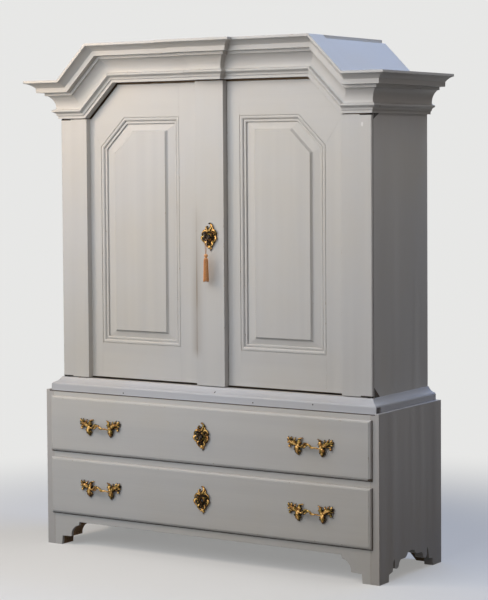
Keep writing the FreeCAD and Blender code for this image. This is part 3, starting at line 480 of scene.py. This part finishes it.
def past(tree, place, axis, limit):
    """1 where the distance along an axis is past a limit; X counts both ways from the middle."""
    value = add(tree, "SeparateXYZ", {0: place}).outputs[axis]
    if axis == "X":
        value = calc(tree, "ABSOLUTE", value)
    return rise(tree, value, limit - 0.0004, limit + 0.0004)


def painted_wood(name, strokes, turn=0.0, bare=None, painted=None, marks=None, colour=PAINT):
    """Paint over wood, worn at the edges.

    bare and painted are each an axis and a limit: past it the wood, or the paint, shows. turn leans the
    strokes round y. marks is a function that draws this board's own marks over the paint's colour.
    """
    material, tree, shader, place = new_material(name)
    coat = use(tree, paint, Colour=colour, Strokes=strokes, Turn=turn)
    wood = use(tree, grain, Along=tuple(1.0 if count > ACROSS else 0.06 for count in strokes))
    edge = use(tree, edges)
    cover = calc(tree, "SUBTRACT", 1.0, edge["Mask"])
    if painted:
        cover = product(tree, cover, past(tree, place, *painted))
    if bare:
        cover = product(tree, cover, calc(tree, "SUBTRACT", 1.0, past(tree, place, *bare)))
    tone = coat["Colour"]
    if marks:
        tone = marks(tree, place, tone)
    height = blend(tree, cover, wood["Height"], coat["Height"])
    height = calc(tree, "ADD", height, product(tree, cover, 1.2))
    feed(tree, shader, Base_Color=blend(tree, cover, wood["Colour"], tone),
         Roughness=blend(tree, cover, WOOD_ROUGHNESS, coat["Roughness"]),
         Normal=add(tree, "Bump", {"Height": height, "Strength": 0.35, "Distance": 0.0008,
                                   "Normal": edge["Normal"]}).outputs[0])
    return material


def dress(material, *names):
    """Give each node the material; it has one slot, which is its own."""
    for name in names:
        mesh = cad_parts[name].data
        mesh.materials.clear()
        mesh.materials.append(material)


def drawer_gap_shade(tree, place, colour):
    """Painted shade from each drawer opening's edge outwards by the gap's width: below it, and to either
    side.
    """
    x, _, z = add(tree, "SeparateXYZ", {0: place}).outputs
    beside = product(tree, calc(tree, "SUBTRACT", calc(tree, "ABSOLUTE", x), DRAWER_HALF), 1.7)
    for low, high in DRAWER_SPANS:
        away = calc(tree, "MAXIMUM", beside, calc(tree, "SUBTRACT", low, z))
        # painted shade: a near-black band in place of the shadow in the gap
        gap_shade = product(tree, rise(tree, away, -0.003, -0.001), rise(tree, away, GAP, GAP - 0.001),
                      calc(tree, "LESS_THAN", z, high))
        colour = blend(tree, gap_shade, colour, GAP_SHADE_AND_NAILS)
    return colour


dress(painted_wood("painted_base_rails", LEVEL, bare=("Y", RAIL_PAINT_END), marks=drawer_gap_shade),
      "drawer_rails", "front_apron")
dress(painted_wood("painted_base_sides", UPRIGHT, painted=("X", SIDE_INNER_FACE), marks=drawer_gap_shade,
                   colour=PAINT_SHADED_SIDES),
      "base_side_left", "base_side_right")

# ---- drawer fronts --------------------------------------------------------------------------------
# Each front is one board with a moulded lip that closes over the opening. The upper one's lower right
# corner has been knocked off and shows dark wood.
LIP_BACK = -0.204              # y behind which the fronts are bare
KNOCKED = (0.737, 0.380)
KNOCKED_WOOD = (0.075, 0.050, 0.032, 1)


def knocked_corner(tree, place, colour):
    """Dark wood within about 14 mm of the corner, further along the board than up it, with a ragged rim."""
    x, _, z = add(tree, "SeparateXYZ", {0: place}).outputs
    spread = add(tree, "CombineXYZ", {0: product(tree, calc(tree, "SUBTRACT", x, KNOCKED[0]), 0.6),
                                      2: calc(tree, "SUBTRACT", z, KNOCKED[1])}).outputs[0]
    away = add(tree, "VectorMath", {0: spread}, operation="LENGTH").outputs["Value"]
    ragged = calc(tree, "ADD", away, product(tree, noise(tree, place, 130.0), 0.008))
    return blend(tree, rise(tree, ragged, 0.0145, 0.0125), colour, KNOCKED_WOOD)


dress(painted_wood("painted_lower_front", LEVEL, bare=("Y", LIP_BACK)), "lower_drawer_front")
dress(painted_wood("painted_upper_front", LEVEL, bare=("Y", LIP_BACK), marks=knocked_corner),
      "upper_drawer_front")

# ---- waist moulding -------------------------------------------------------------------------------
# The moulding round the foot of the case covers its joint with the chest. It is nailed on, and four nails
# have broken through the paint. A line of painted shade runs along its foot, and its paint is a bluer grey
# that stands for the cool light falling on it from above.
# painted light: a bluer grey in place of the cool light from above on the moulding's sloping top
PAINT_COOL_LIGHT_TINT = (0.490, 0.505, 0.545, 1)
NAILS = [(-0.390, 0.629), (0.217, 0.630), (0.034, 0.657), (0.480, 0.640)]
NAIL_RADIUS = 0.0035
WAIST_FOOT = 0.6175


def waist_nails_and_foot_shade(tree, place, colour):
    """A dark dot at each nail's x and z, and a line of painted shade along the moulding's foot."""
    x, _, z = add(tree, "SeparateXYZ", {0: place}).outputs
    flat = add(tree, "CombineXYZ", {0: x, 2: z}).outputs[0]
    for nail_x, nail_z in NAILS:
        nail = {0: flat, 1: (nail_x, 0, nail_z)}
        away = add(tree, "VectorMath", nail, operation="DISTANCE").outputs["Value"]
        colour = blend(tree, rise(tree, away, NAIL_RADIUS, NAIL_RADIUS * 0.6), colour, GAP_SHADE_AND_NAILS)
    # painted shade: a near-black line along the moulding's foot
    return blend(tree, rise(tree, z, WAIST_FOOT + 0.0034, WAIST_FOOT + 0.0022), colour, GAP_SHADE_AND_NAILS)


dress(painted_wood("painted_waist", LEVEL, marks=waist_nails_and_foot_shade, colour=PAINT_COOL_LIGHT_TINT), "waist_front")
dress(painted_wood("painted_waist_sides", ENDWAYS, marks=waist_nails_and_foot_shade, colour=PAINT_COOL_LIGHT_TINT), "waist_sides")

# ---- case -----------------------------------------------------------------------------------------
# Two painted side boards stand on a floor board, with a head board behind the cornice. The floor board is
# painted dark behind the slit under the doors, as painted shade in the slit; inside them all is bare.
CASE_INNER_FACE = 0.6865       # x of the sides' inner faces
HEAD_BACK = -0.134             # y behind which the head board is bare
SILL = -0.138                  # the painted shade starts here
SILL_BACK = -0.105             # to here


def slit_shade(tree, place, colour):
    """Painted shade behind the sill line."""
    y = add(tree, "SeparateXYZ", {0: place}).outputs["Y"]
    return blend(tree, rise(tree, y, SILL - 0.002, SILL), colour, GAP_SHADE_AND_NAILS)


dress(painted_wood("painted_case_sides", UPRIGHT, painted=("X", CASE_INNER_FACE)),
      "case_side_left", "case_side_right")
dress(painted_wood("painted_head_board", LEVEL, bare=("Y", HEAD_BACK)), "head_board")
dress(painted_wood("painted_case_floor", LEVEL, bare=("Y", SILL_BACK), marks=slit_shade), "case_floor")

# ---- crown cornice and roof -----------------------------------------------------------------------
# Lengths of one planed moulding, mitred and glued up along the broken crown, with roof boards behind
# them. Each length is painted along its own run.
ROOF_PAINT_FOOT = 1.860        # the roof boards are painted above this z
dress(painted_wood("painted_cornice", LEVEL), "cornice_top_run", "cornice_low_runs", "cornice_centre_break")
dress(painted_wood("painted_raking_cornice", LEVEL, turn=math.radians(45)), "cornice_raking_runs")
dress(painted_wood("painted_cornice_returns", ENDWAYS), "cornice_returns")
dress(painted_wood("painted_roof", ENDWAYS, painted=("Z", ROOF_PAINT_FOOT)), "roof_boards")

# ---- doors ----------------------------------------------------------------------------------------
# Stiles and rails tenoned together round a bevelled panel, with a moulding sunk round it and a pilaster
# board on the hinge side. The doors are bare inside.
FRAME_BACK = -0.1065           # y of the frames' bare backs
PANEL_BACK = -0.1115
ALL_WAYS = (60, 60, 60)        # short strokes, for mouldings that turn corners
dress(painted_wood("painted_uprights", UPRIGHT, bare=("Y", FRAME_BACK)), "left_door_hinge_stile",
      "right_door_hinge_stile", "right_door_lock_stile", "left_door_pilaster")
dress(painted_wood("painted_door_rails", LEVEL, bare=("Y", FRAME_BACK)), "left_door_rails",
      "right_door_rails")
dress(painted_wood("painted_panels", UPRIGHT, bare=("Y", PANEL_BACK)), "left_door_panel", "right_door_panel")
dress(painted_wood("painted_panel_mouldings", ALL_WAYS), "left_door_panel_moulding",
      "right_door_panel_moulding")

# ---- right pilaster -------------------------------------------------------------------------------
# The same board as the left one, fixed to the right door's hinge stile. A knock near its top has been
# filled and touched up with a lighter paint.
TOUCH_UP = (0.674, -0.156, 1.671)
TOUCH_UP_PAINT = (0.72, 0.71, 0.69, 1)


def touch_up(tree, place, colour):
    """An upright patch, about 8 mm round the middle, with a ragged rim."""
    spread = add(tree, "VectorMath", {0: place, 1: TOUCH_UP}, operation="SUBTRACT").outputs[0]
    flat = stretched(tree, spread, (1, 0, 0.6))
    reach = add(tree, "VectorMath", {0: flat}, operation="LENGTH").outputs["Value"]
    ragged = calc(tree, "ADD", reach, product(tree, noise(tree, place, 160.0), 0.006))
    return blend(tree, rise(tree, ragged, 0.009, 0.006), colour, TOUCH_UP_PAINT)


dress(painted_wood("painted_right_pilaster", UPRIGHT, bare=("Y", FRAME_BACK), marks=touch_up),
      "right_door_pilaster")

# ---- lock stile and lock strip --------------------------------------------------------------------
# The strip that covers the meeting of the doors is fixed to the left one. Where hands have opened it,
# yellow-brown grime has settled on both sides of the strip's left edge, thickest low down.
GRIME_LINE = -0.066            # x of the grime's middle
GRIME_FOOT = 0.77
GRIME_TOP = 1.40
HAND_GRIME = (0.15, 0.085, 0.022, 1)


def hand_grime(tree, place, colour):
    """A dark line in a wide halo. Both fade out at the top, end at the foot, and are patchy."""
    x, _, z = add(tree, "SeparateXYZ", {0: place}).outputs
    beside = calc(tree, "ABSOLUTE", calc(tree, "SUBTRACT", x, GRIME_LINE))
    blotch = noise(tree, stretched(tree, place, (1, 1, 0.25)), 14.0, 4.0)
    foot = rise(tree, z, GRIME_FOOT, GRIME_FOOT + 0.05)
    top = rise(tree, z, GRIME_TOP, GRIME_TOP - 0.1)
    thick = calc(tree, "ADD", 0.35, product(tree, rise(tree, z, GRIME_TOP, GRIME_FOOT + 0.15), 0.65))
    patchy = calc(tree, "ADD", 0.55, product(tree, rise(tree, blotch, 0.3, 0.6), 0.45))
    line = rise(tree, beside, 0.020, 0.002)
    halo = product(tree, rise(tree, beside, 0.045, 0.0), 0.4)
    shown = product(tree, calc(tree, "MAXIMUM", line, halo), foot, top, thick, patchy)
    return blend(tree, shown, colour, HAND_GRIME)


dress(painted_wood("painted_lock_boards", UPRIGHT, bare=("Y", FRAME_BACK), marks=hand_grime),
      "left_door_lock_stile", "left_door_lock_strip")

# ---- bare boards ----------------------------------------------------------------------------------
# Back, shelves, floors and drawer boxes are plain sawn and planed pine, nailed together. They were never
# painted, and age has browned them.


def bare_wood(name, along):
    """Plain pine; along is small on the axis that its grain follows."""
    material, tree, shader, _ = new_material(name, Roughness=0.75)
    wood = use(tree, grain, Along=along)
    edge = use(tree, edges)
    feed(tree, shader, Base_Color=wood["Colour"],
         Normal=add(tree, "Bump", {"Height": wood["Height"], "Strength": 0.4, "Distance": 0.0008,
                                   "Normal": edge["Normal"]}).outputs[0])
    return material


dress(bare_wood("bare_upright_boards", (1, 1, 0.06)), "back_boards")
dress(bare_wood("bare_level_boards", (0.06, 1, 1)), "shelves", "base_back", "base_top_board", "chest_floors",
      "stop_rail", "upper_drawer_bottom", "lower_drawer_bottom")
dress(bare_wood("bare_drawer_walls", (1, 0.06, 1)), "upper_drawer_walls", "lower_drawer_walls")

# ---- iron -----------------------------------------------------------------------------------------
# Pivots, sockets, locks and bolts are forged and filed iron, let into the wood. It is dark, with rust in
# the hollows.
IRON_DARK = (0.035, 0.031, 0.029, 1)
RUST = (0.07, 0.028, 0.014, 1)
iron, tree, shader, place = new_material("forged_iron", Metallic=0.5)
scale = noise(tree, place, 60.0, 5.0, 0.65)
hammer = noise(tree, place, 180.0, 2.0)
rust = rise(tree, scale, 0.52, 0.68)
feed(tree, shader, Base_Color=blend(tree, rust, IRON_DARK, RUST),
     Roughness=rise(tree, scale, -0.6, 1.1),
     Normal=add(tree, "Bump", {"Height": hammer, "Strength": 0.4, "Distance": 0.001}).outputs[0])
dress(iron, "left_door_lock_bolt", "left_door_lock_case", "left_door_pivots", "lower_drawer_lock",
      "pivot_sockets", "right_door_bottom_bolt", "right_door_irons", "right_door_pivots",
      "right_door_top_bolt", "upper_drawer_lock")

# ---- brass pulls ----------------------------------------------------------------------------------
# Cast and chased brass, once gilded: at each end a spray of leaves screwed to the drawer, and between
# them a wavy bar with small leaves at its crest. Dark wax and tarnish lie in the hollows.
PULL_MIDDLES = (-485.0, 485.0)
PULL_HEIGHTS = {"upper_drawer": 487.0, "lower_drawer": 241.0}
DRAWER_FACE = -214.5
GILT = (0.66, 0.40, 0.14, 1)
DULL_RED = (0.21, 0.095, 0.030, 1)
DULL_GREEN = (0.15, 0.105, 0.026, 1)
TARNISH = (0.014, 0.010, 0.006, 1)

brass, tree, shader, place = new_material("gilt_brass", Metallic=1.0)
shelter = add(tree, "AmbientOcclusion", {"Distance": 0.010}, samples=12).outputs["AO"]
ridge = add(tree, "Attribute", attribute_name="relief").outputs["Fac"]
patch = noise(tree, place, 220.0, 3.0, 0.6)
blotch = product(tree, rise(tree, noise(tree, place, 75.0, 2.0), 0.36, 0.60), 0.45)
rubbed = calc(tree, "ADD", product(tree, shelter, ridge), product(tree, patch, 1.3))
rubbed = calc(tree, "ADD", rubbed, calc(tree, "SUBTRACT", blotch, 0.30))
dull = blend(tree, rise(tree, noise(tree, place, 70.0), 0.40, 0.60), DULL_GREEN, DULL_RED)
dull = blend(tree, rise(tree, rubbed, 0.68, 1.10), TARNISH, dull)
feed(tree, shader, Base_Color=blend(tree, rise(tree, rubbed, 1.20, 1.62), dull, GILT),
     Roughness=rise(tree, patch, -0.2, 1.5),
     Normal=add(tree, "Bump", {"Height": noise(tree, place, 900.0, 2.0), "Strength": 0.25,
                               "Distance": 0.0005}).outputs[0])


def blade(spine, width, dome, lobes=0.0, veins=0.0, back=0.35, root=0.15, rows=40, around=24):
    """Leaf or scroll: a domed section carried along a line, as rings in mm (across, up, proud) and relief.

    The half width follows a sine from the root, full at a third of the length, to a point at the tip,
    with lobes along the edge. The section is an ellipse, dome high and flatter behind, with a groove on
    the middle line and veins that lean towards the tip.
    """
    line = smooth_line(spine, rows)
    share = np.linspace(0, 1, rows)[:, None]
    angle = np.linspace(0, 2 * np.pi, around, endpoint=False)[None, :]
    along = np.gradient(line, axis=0)
    along /= np.linalg.norm(along, axis=1, keepdims=True)
    across = np.cross(along, (0.0, 0.0, 1.0))
    across /= np.linalg.norm(across, axis=1, keepdims=True)
    lift = np.cross(across, along)
    taper = np.sin(np.pi * (root + (1 - root) * share) ** 0.8) ** 0.75 + 0.02
    edge = 1 + (0.42 * (np.abs(np.sin(lobes * np.pi * share)) - 0.5) if lobes else 0.0)
    side = np.cos(angle)
    rib = 1 - veins * np.abs(side) * (0.5 + 0.5 * np.cos(2 * np.pi * (lobes * share - np.abs(side))))
    groove = 1 - 0.45 * veins * np.exp(-(side / 0.16) ** 2)
    height = np.where(np.sin(angle) > 0, dome * rib * groove, dome * back) * np.sin(angle)
    spread = (width * taper * edge * side)[..., None] * across[:, None, :]
    relief = np.clip(np.sin(angle), 0, 1) ** 3 * rib * (1 - share ** 3)
    return line[:, None, :] + spread + (height * taper)[..., None] * lift[:, None, :], relief


def turned(profile, middle, rows=30, around=24):
    """Turned post or bead: rings of a half section, (radius, proud), round an axis that stands forward."""
    section = smooth_line(profile, rows)
    angle = np.linspace(0, 2 * np.pi, around, endpoint=False)
    ring = np.stack([np.cos(angle), np.sin(angle), np.zeros(around)], axis=-1)
    rings = section[:, :1, None] * ring + np.array([middle[0], middle[1], 0.0])
    rings[..., 2] += section[:, 1:]
    return rings, np.linspace(0, 1, rows)[:, None]


def placed(drawn, x, z, face, mirror=1, looped=False):
    """Shell of rings drawn in mm as (across, up, proud), set on a face in the part's own metres."""
    rings, relief = drawn
    there = np.stack([x + mirror * rings[..., 0], face - rings[..., 2], z + rings[..., 1]], axis=-1)
    return shell(there / 1000, looped, relief)


SPRAY = [
    blade([(50, 2, 4), (62, 9, 9), (76, 16, 12), (89, 20, 8), (102, 23, 2)], 10.0, 6.5, 4, 0.7),
    blade([(84, 21, 7), (92, 28, 8), (94, 34, 2)], 4.2, 3.0, 0, 0.2),
    blade([(74, 18, 7), (79, 27, 9), (82, 35, 2)], 4.4, 3.0, 0, 0.2),
    blade([(66, 14, 6), (65, 23, 9), (62, 32, 2)], 4.4, 3.0, 0, 0.2),
    blade([(84, 16, 7), (93, 12, 8), (101, 13, 2)], 3.8, 3.0, 0, 0.2),
    blade([(64, 8, 6), (76, 5, 8), (86, 5, 7), (91, -2, 5), (85, -5, 4)], 3.2, 2.8),
    blade([(52, 4, 5), (54, -9, 10), (52, -23, 8), (50, -35, 2)], 11.0, 5.5, 4, 0.7),
    blade([(50, -8, 6), (43, -15, 8), (39, -22, 3)], 3.6, 2.8, 0, 0.2),
    blade([(56, -10, 6), (61, -17, 8), (63, -26, 3)], 3.6, 2.8, 0, 0.2),
    blade([(51, 3, 5), (47, 12, 10), (45, 21, 9), (42, 30, 3)], 9.5, 4.5, 3, 0.7),
    blade([(32, 31, 3), (40, 29, 9), (48, 27, 10), (57, 24, 4)], 2.8, 2.6),
    blade([(50, 4, 5), (43, 8, 8), (37, 14, 3)], 4.0, 3.0, 0, 0.2),
    turned([(0.3, 2), (3.8, 3), (4.8, 6), (3.4, 9), (0.3, 10)], (88, -3), 16, 18),
    turned([(6.8, 1), (6.8, 4), (4.6, 6), (4.4, 8), (5.8, 10), (5.4, 13), (0.3, 14.5)], (50, 2), 20),
]
BAR_ROUTE = [(50, 2, 9), (43, -3, 12), (33, 0, 17), (18, 1, 21), (5, 10, 22), (-7, 11, 21), (-18, 5, 18),
             (-30, -2, 13), (-50, 2, 9)]


def bar(route, radius, rows=120, around=16):
    """Round bar carried along the route, a little thicker at its middle leaves."""
    line = smooth_line(route, rows)
    along = np.gradient(line, axis=0)
    along /= np.linalg.norm(along, axis=1, keepdims=True)
    across = np.cross(along, (0.0, 0.0, 1.0))
    angle = np.linspace(0, 2 * np.pi, around, endpoint=False)[None, :, None]
    swell = 1 + 0.25 * np.exp(-((line[:, :1] + 2) / 14) ** 2)
    ring = np.cos(angle) * across[:, None, :] + np.sin(angle) * np.array([0.0, 0.0, 1.0])
    return line[:, None, :] + radius * swell[:, None, :] * ring, 0.4 + 0.4 * np.sin(angle[..., 0])


BAR = [
    bar(BAR_ROUTE, 2.9),
    blade([(-34, -1, 14), (-24, 6, 20), (-12, 15, 24), (0, 16, 23)], 3.6, 2.0, 2, 0.3),
    blade([(-24, -4, 17), (-12, 2, 23), (-2, 8, 25), (8, 9, 23)], 3.4, 2.0, 2, 0.3),
    blade([(22, -2, 21), (12, 2, 24), (4, 12, 24), (-8, 17, 21)], 3.0, 1.8, 2, 0.3),
]

for body, height in PULL_HEIGHTS.items():
    shells = []
    for middle in PULL_MIDDLES:
        for hand in (-1, 1):
            shells += [placed(leaf, middle, height, DRAWER_FACE, hand) for leaf in SPRAY]
        shells += [placed(drawn, middle, height, DRAWER_FACE) for drawn in BAR]
    make_piece(body + "_brass_pulls", shells, brass, body, "brass", body + "_pulls")

# ---- brass escutcheons ----------------------------------------------------------------------------
# Lopsided rococo keyhole plates from the same foundry: a lozenge of scrolls round the keyhole, a leaf
# that hooks over at the top, and a tail of two small buds.
STRIP_FACE = -156.0
ESCUTCHEONS = {"left_door": (4.0, STRIP_FACE, 1250.0), "upper_drawer": (0.0, DRAWER_FACE, 489.0),
               "lower_drawer": (0.0, DRAWER_FACE, 245.0)}  # across, face and height of each keyhole in mm
PLATE_HALF = (33, 40)          # mm across and up
PLATE_POWER = 1.5              # 1 would be a plain lozenge and 2 an ellipse
SCALLOPS = 9


def lozenge(rows=160, across=14):
    """Plate round the keyhole: rings of a section that runs from the keyhole's edge to a scalloped rim.

    The rim is a lozenge, (|x| / 33) ^ 1.5 + (|z| / 40) ^ 1.5 = 1, with nine scallops; the top swells in
    a bead round the keyhole, dips, and rises in gadroons to the rim. Wax darkens all but the rim.
    """
    angle = np.linspace(0, 2 * np.pi, rows, endpoint=False)[:, None]
    bulge = (np.abs(np.cos(angle) / PLATE_HALF[0]) ** PLATE_POWER
             + np.abs(np.sin(angle) / PLATE_HALF[1]) ** PLATE_POWER)
    rim = bulge ** (-1 / PLATE_POWER) * (0.95 + 0.05 * np.cos(SCALLOPS * angle))
    hole = 5.4 + 5.0 * np.exp(-((angle - 1.5 * np.pi) / 0.30) ** 2)
    share = np.linspace(0, 1, across)[None, :]
    top = hole + (rim - hole) * share
    bead = 5.6 * np.exp(-((share - 0.16) / 0.14) ** 2)
    gadroon = (2.6 + 1.1 * np.cos(14 * angle)) * np.exp(-((share - 0.70) / 0.22) ** 2)
    proud = 1.2 + bead + gadroon - 0.9 * share ** 6
    radius = np.concatenate([top, top[:, ::-1]], axis=1)
    depth = np.concatenate([proud, np.zeros_like(proud)], axis=1)
    relief = (depth - 2) / 5 * np.concatenate([share, share[:, ::-1]], axis=1) ** 0.7
    return np.stack([radius * np.cos(angle), radius * np.sin(angle), depth], axis=-1), relief


CARTOUCHE = [
    blade([(-7, 20, 3), (-18, 24, 6), (-29, 17, 6), (-31, 7, 5), (-24, 6, 4)], 4.0, 3.0, 2, 0.3),
    blade([(8, 21, 3), (20, 26, 6), (31, 19, 6), (32, 9, 5), (25, 7, 4)], 4.0, 3.0, 2, 0.3),
    blade([(-24, 4, 3), (-33, -3, 6), (-29, -14, 6), (-18, -20, 5), (-14, -13, 4)], 4.2, 3.0, 2, 0.3),
    blade([(26, 5, 3), (31, -4, 6), (27, -14, 6), (17, -22, 5), (12, -15, 4)], 4.2, 3.0, 2, 0.3),
    blade([(-12, -16, 3), (-17, -26, 6), (-10, -36, 5), (-2, -34, 4)], 4.0, 3.0, 2, 0.3),
    blade([(10, -18, 3), (16, -28, 6), (9, -36, 5), (2, -30, 4)], 4.0, 3.0, 2, 0.3),
    blade([(-3, 22, 3), (7, 32, 6), (12, 42, 6), (5, 51, 4), (-6, 51, 3)], 5.5, 3.4, 3, 0.35),
    blade([(-6, 24, 3), (-14, 33, 5), (-10, 40, 4), (-4, 38, 3)], 3.6, 2.8, 2, 0.3),
    blade([(6, 26, 3), (17, 31, 5), (16, 40, 4), (10, 41, 3)], 3.4, 2.8, 2, 0.3),
    blade([(-3, -33, 3), (3, -39, 5), (6, -46, 4), (3, -54, 2)], 3.8, 2.8, 2, 0.3),
    turned([(0.3, 0.5), (3.2, 1.5), (3.8, 3.6), (2.8, 5.8), (0.3, 6.4)], (-4, -41), 16, 18),
    turned([(0.3, 0.5), (2.8, 1.5), (3.4, 3.4), (2.5, 5.2), (0.3, 5.8)], (9, -43), 16, 18),
]

for body, (x, face, z) in ESCUTCHEONS.items():
    shells = [placed(lozenge(), x, z, face, looped=True)]
    shells += [placed(leaf, x, z, face) for leaf in CARTOUCHE]
    make_piece(body + "_brass_escutcheon", shells, brass, body, "brass", body + "_escutcheon")

# ---- keys -----------------------------------------------------------------------------------------
# Forged iron keys, worn smooth by use: a ring bow, a collar against the plate, a round shank and a bit.
# One hangs the tassel from the left door's lock, and one stands in the upper drawer's.
KEYS = {"key": ("left_door_key", "left_door", -81.0, (-98.0, -92.0)),  # y of the tip and the bit's two sides
        "drawer_key": ("upper_drawer_key", "upper_drawer", -189.5, (-199.5, -194.5))}
BOW_STAND = 28.0
BOW_RADIUS = 12.5
BIT_HALF = 1.4
BIT_DROP = 13.2
COLLAR = [(3.4, 7.5), (3.5, 8.4), (5.6, 9.0), (5.9, 10.2), (5.6, 11.4), (3.9, 12.2), (4.6, 13.0), (4.2, 14.4),
          (2.2, 15.4), (0.3, 15.6)]
IRON_WORN = (0.055, 0.045, 0.038, 1)
IRON_BRIGHT = (0.16, 0.13, 0.105, 1)

key_iron, tree, shader, place = new_material("worn_iron", Metallic=0.9)
wear = noise(tree, place, 140.0, 4.0)
feed(tree, shader, Base_Color=blend(tree, rise(tree, wear, 0.35, 0.7), IRON_WORN, IRON_BRIGHT),
     Roughness=rise(tree, wear, -0.4, 1.3),
     Normal=add(tree, "Bump", {"Height": wear, "Strength": 0.3, "Distance": 0.0006}).outputs[0])


def bow_ring(rows=72, around=18):
    """Ring bow in the plane of the shank: a round bar, flattened a little towards its outside."""
    turn = np.linspace(0, 2 * np.pi, rows, endpoint=False)[:, None]
    angle = np.linspace(0, 2 * np.pi, around, endpoint=False)[None, :]
    radius = BOW_RADIUS + 2.1 * np.cos(angle) * (1 - 0.12 * np.cos(angle))
    thick = np.broadcast_to(1.9 * np.sin(angle), (rows, around))
    return np.stack([thick, radius * np.sin(turn), BOW_STAND + radius * np.cos(turn)], axis=-1), 0


def key_bit(face, sides):
    """Flat plate below the shank, as two rings of its four corners."""
    corners = [(-BIT_HALF, -BIT_DROP), (BIT_HALF, -BIT_DROP), (BIT_HALF, 0.0), (-BIT_HALF, 0.0)]
    return np.stack([np.column_stack([corners, np.full(4, face - y)]) for y in sides]), 0


for body, (node, plate, tip, sides) in KEYS.items():
    x, face, z = ESCUTCHEONS[plate]
    reach = face - tip
    shank = [(0.3, reach), (3.3, reach + 0.6), (3.4, reach + 3)] + COLLAR
    shells = [placed(bow_ring(), x, z, face, looped=True), placed(turned(shank, (0, 0), 60), x, z, face),
              placed(key_bit(face, sides), x, z, face)]
    make_piece(node + "_worn", shells, key_iron, body, "wrought_iron", node)
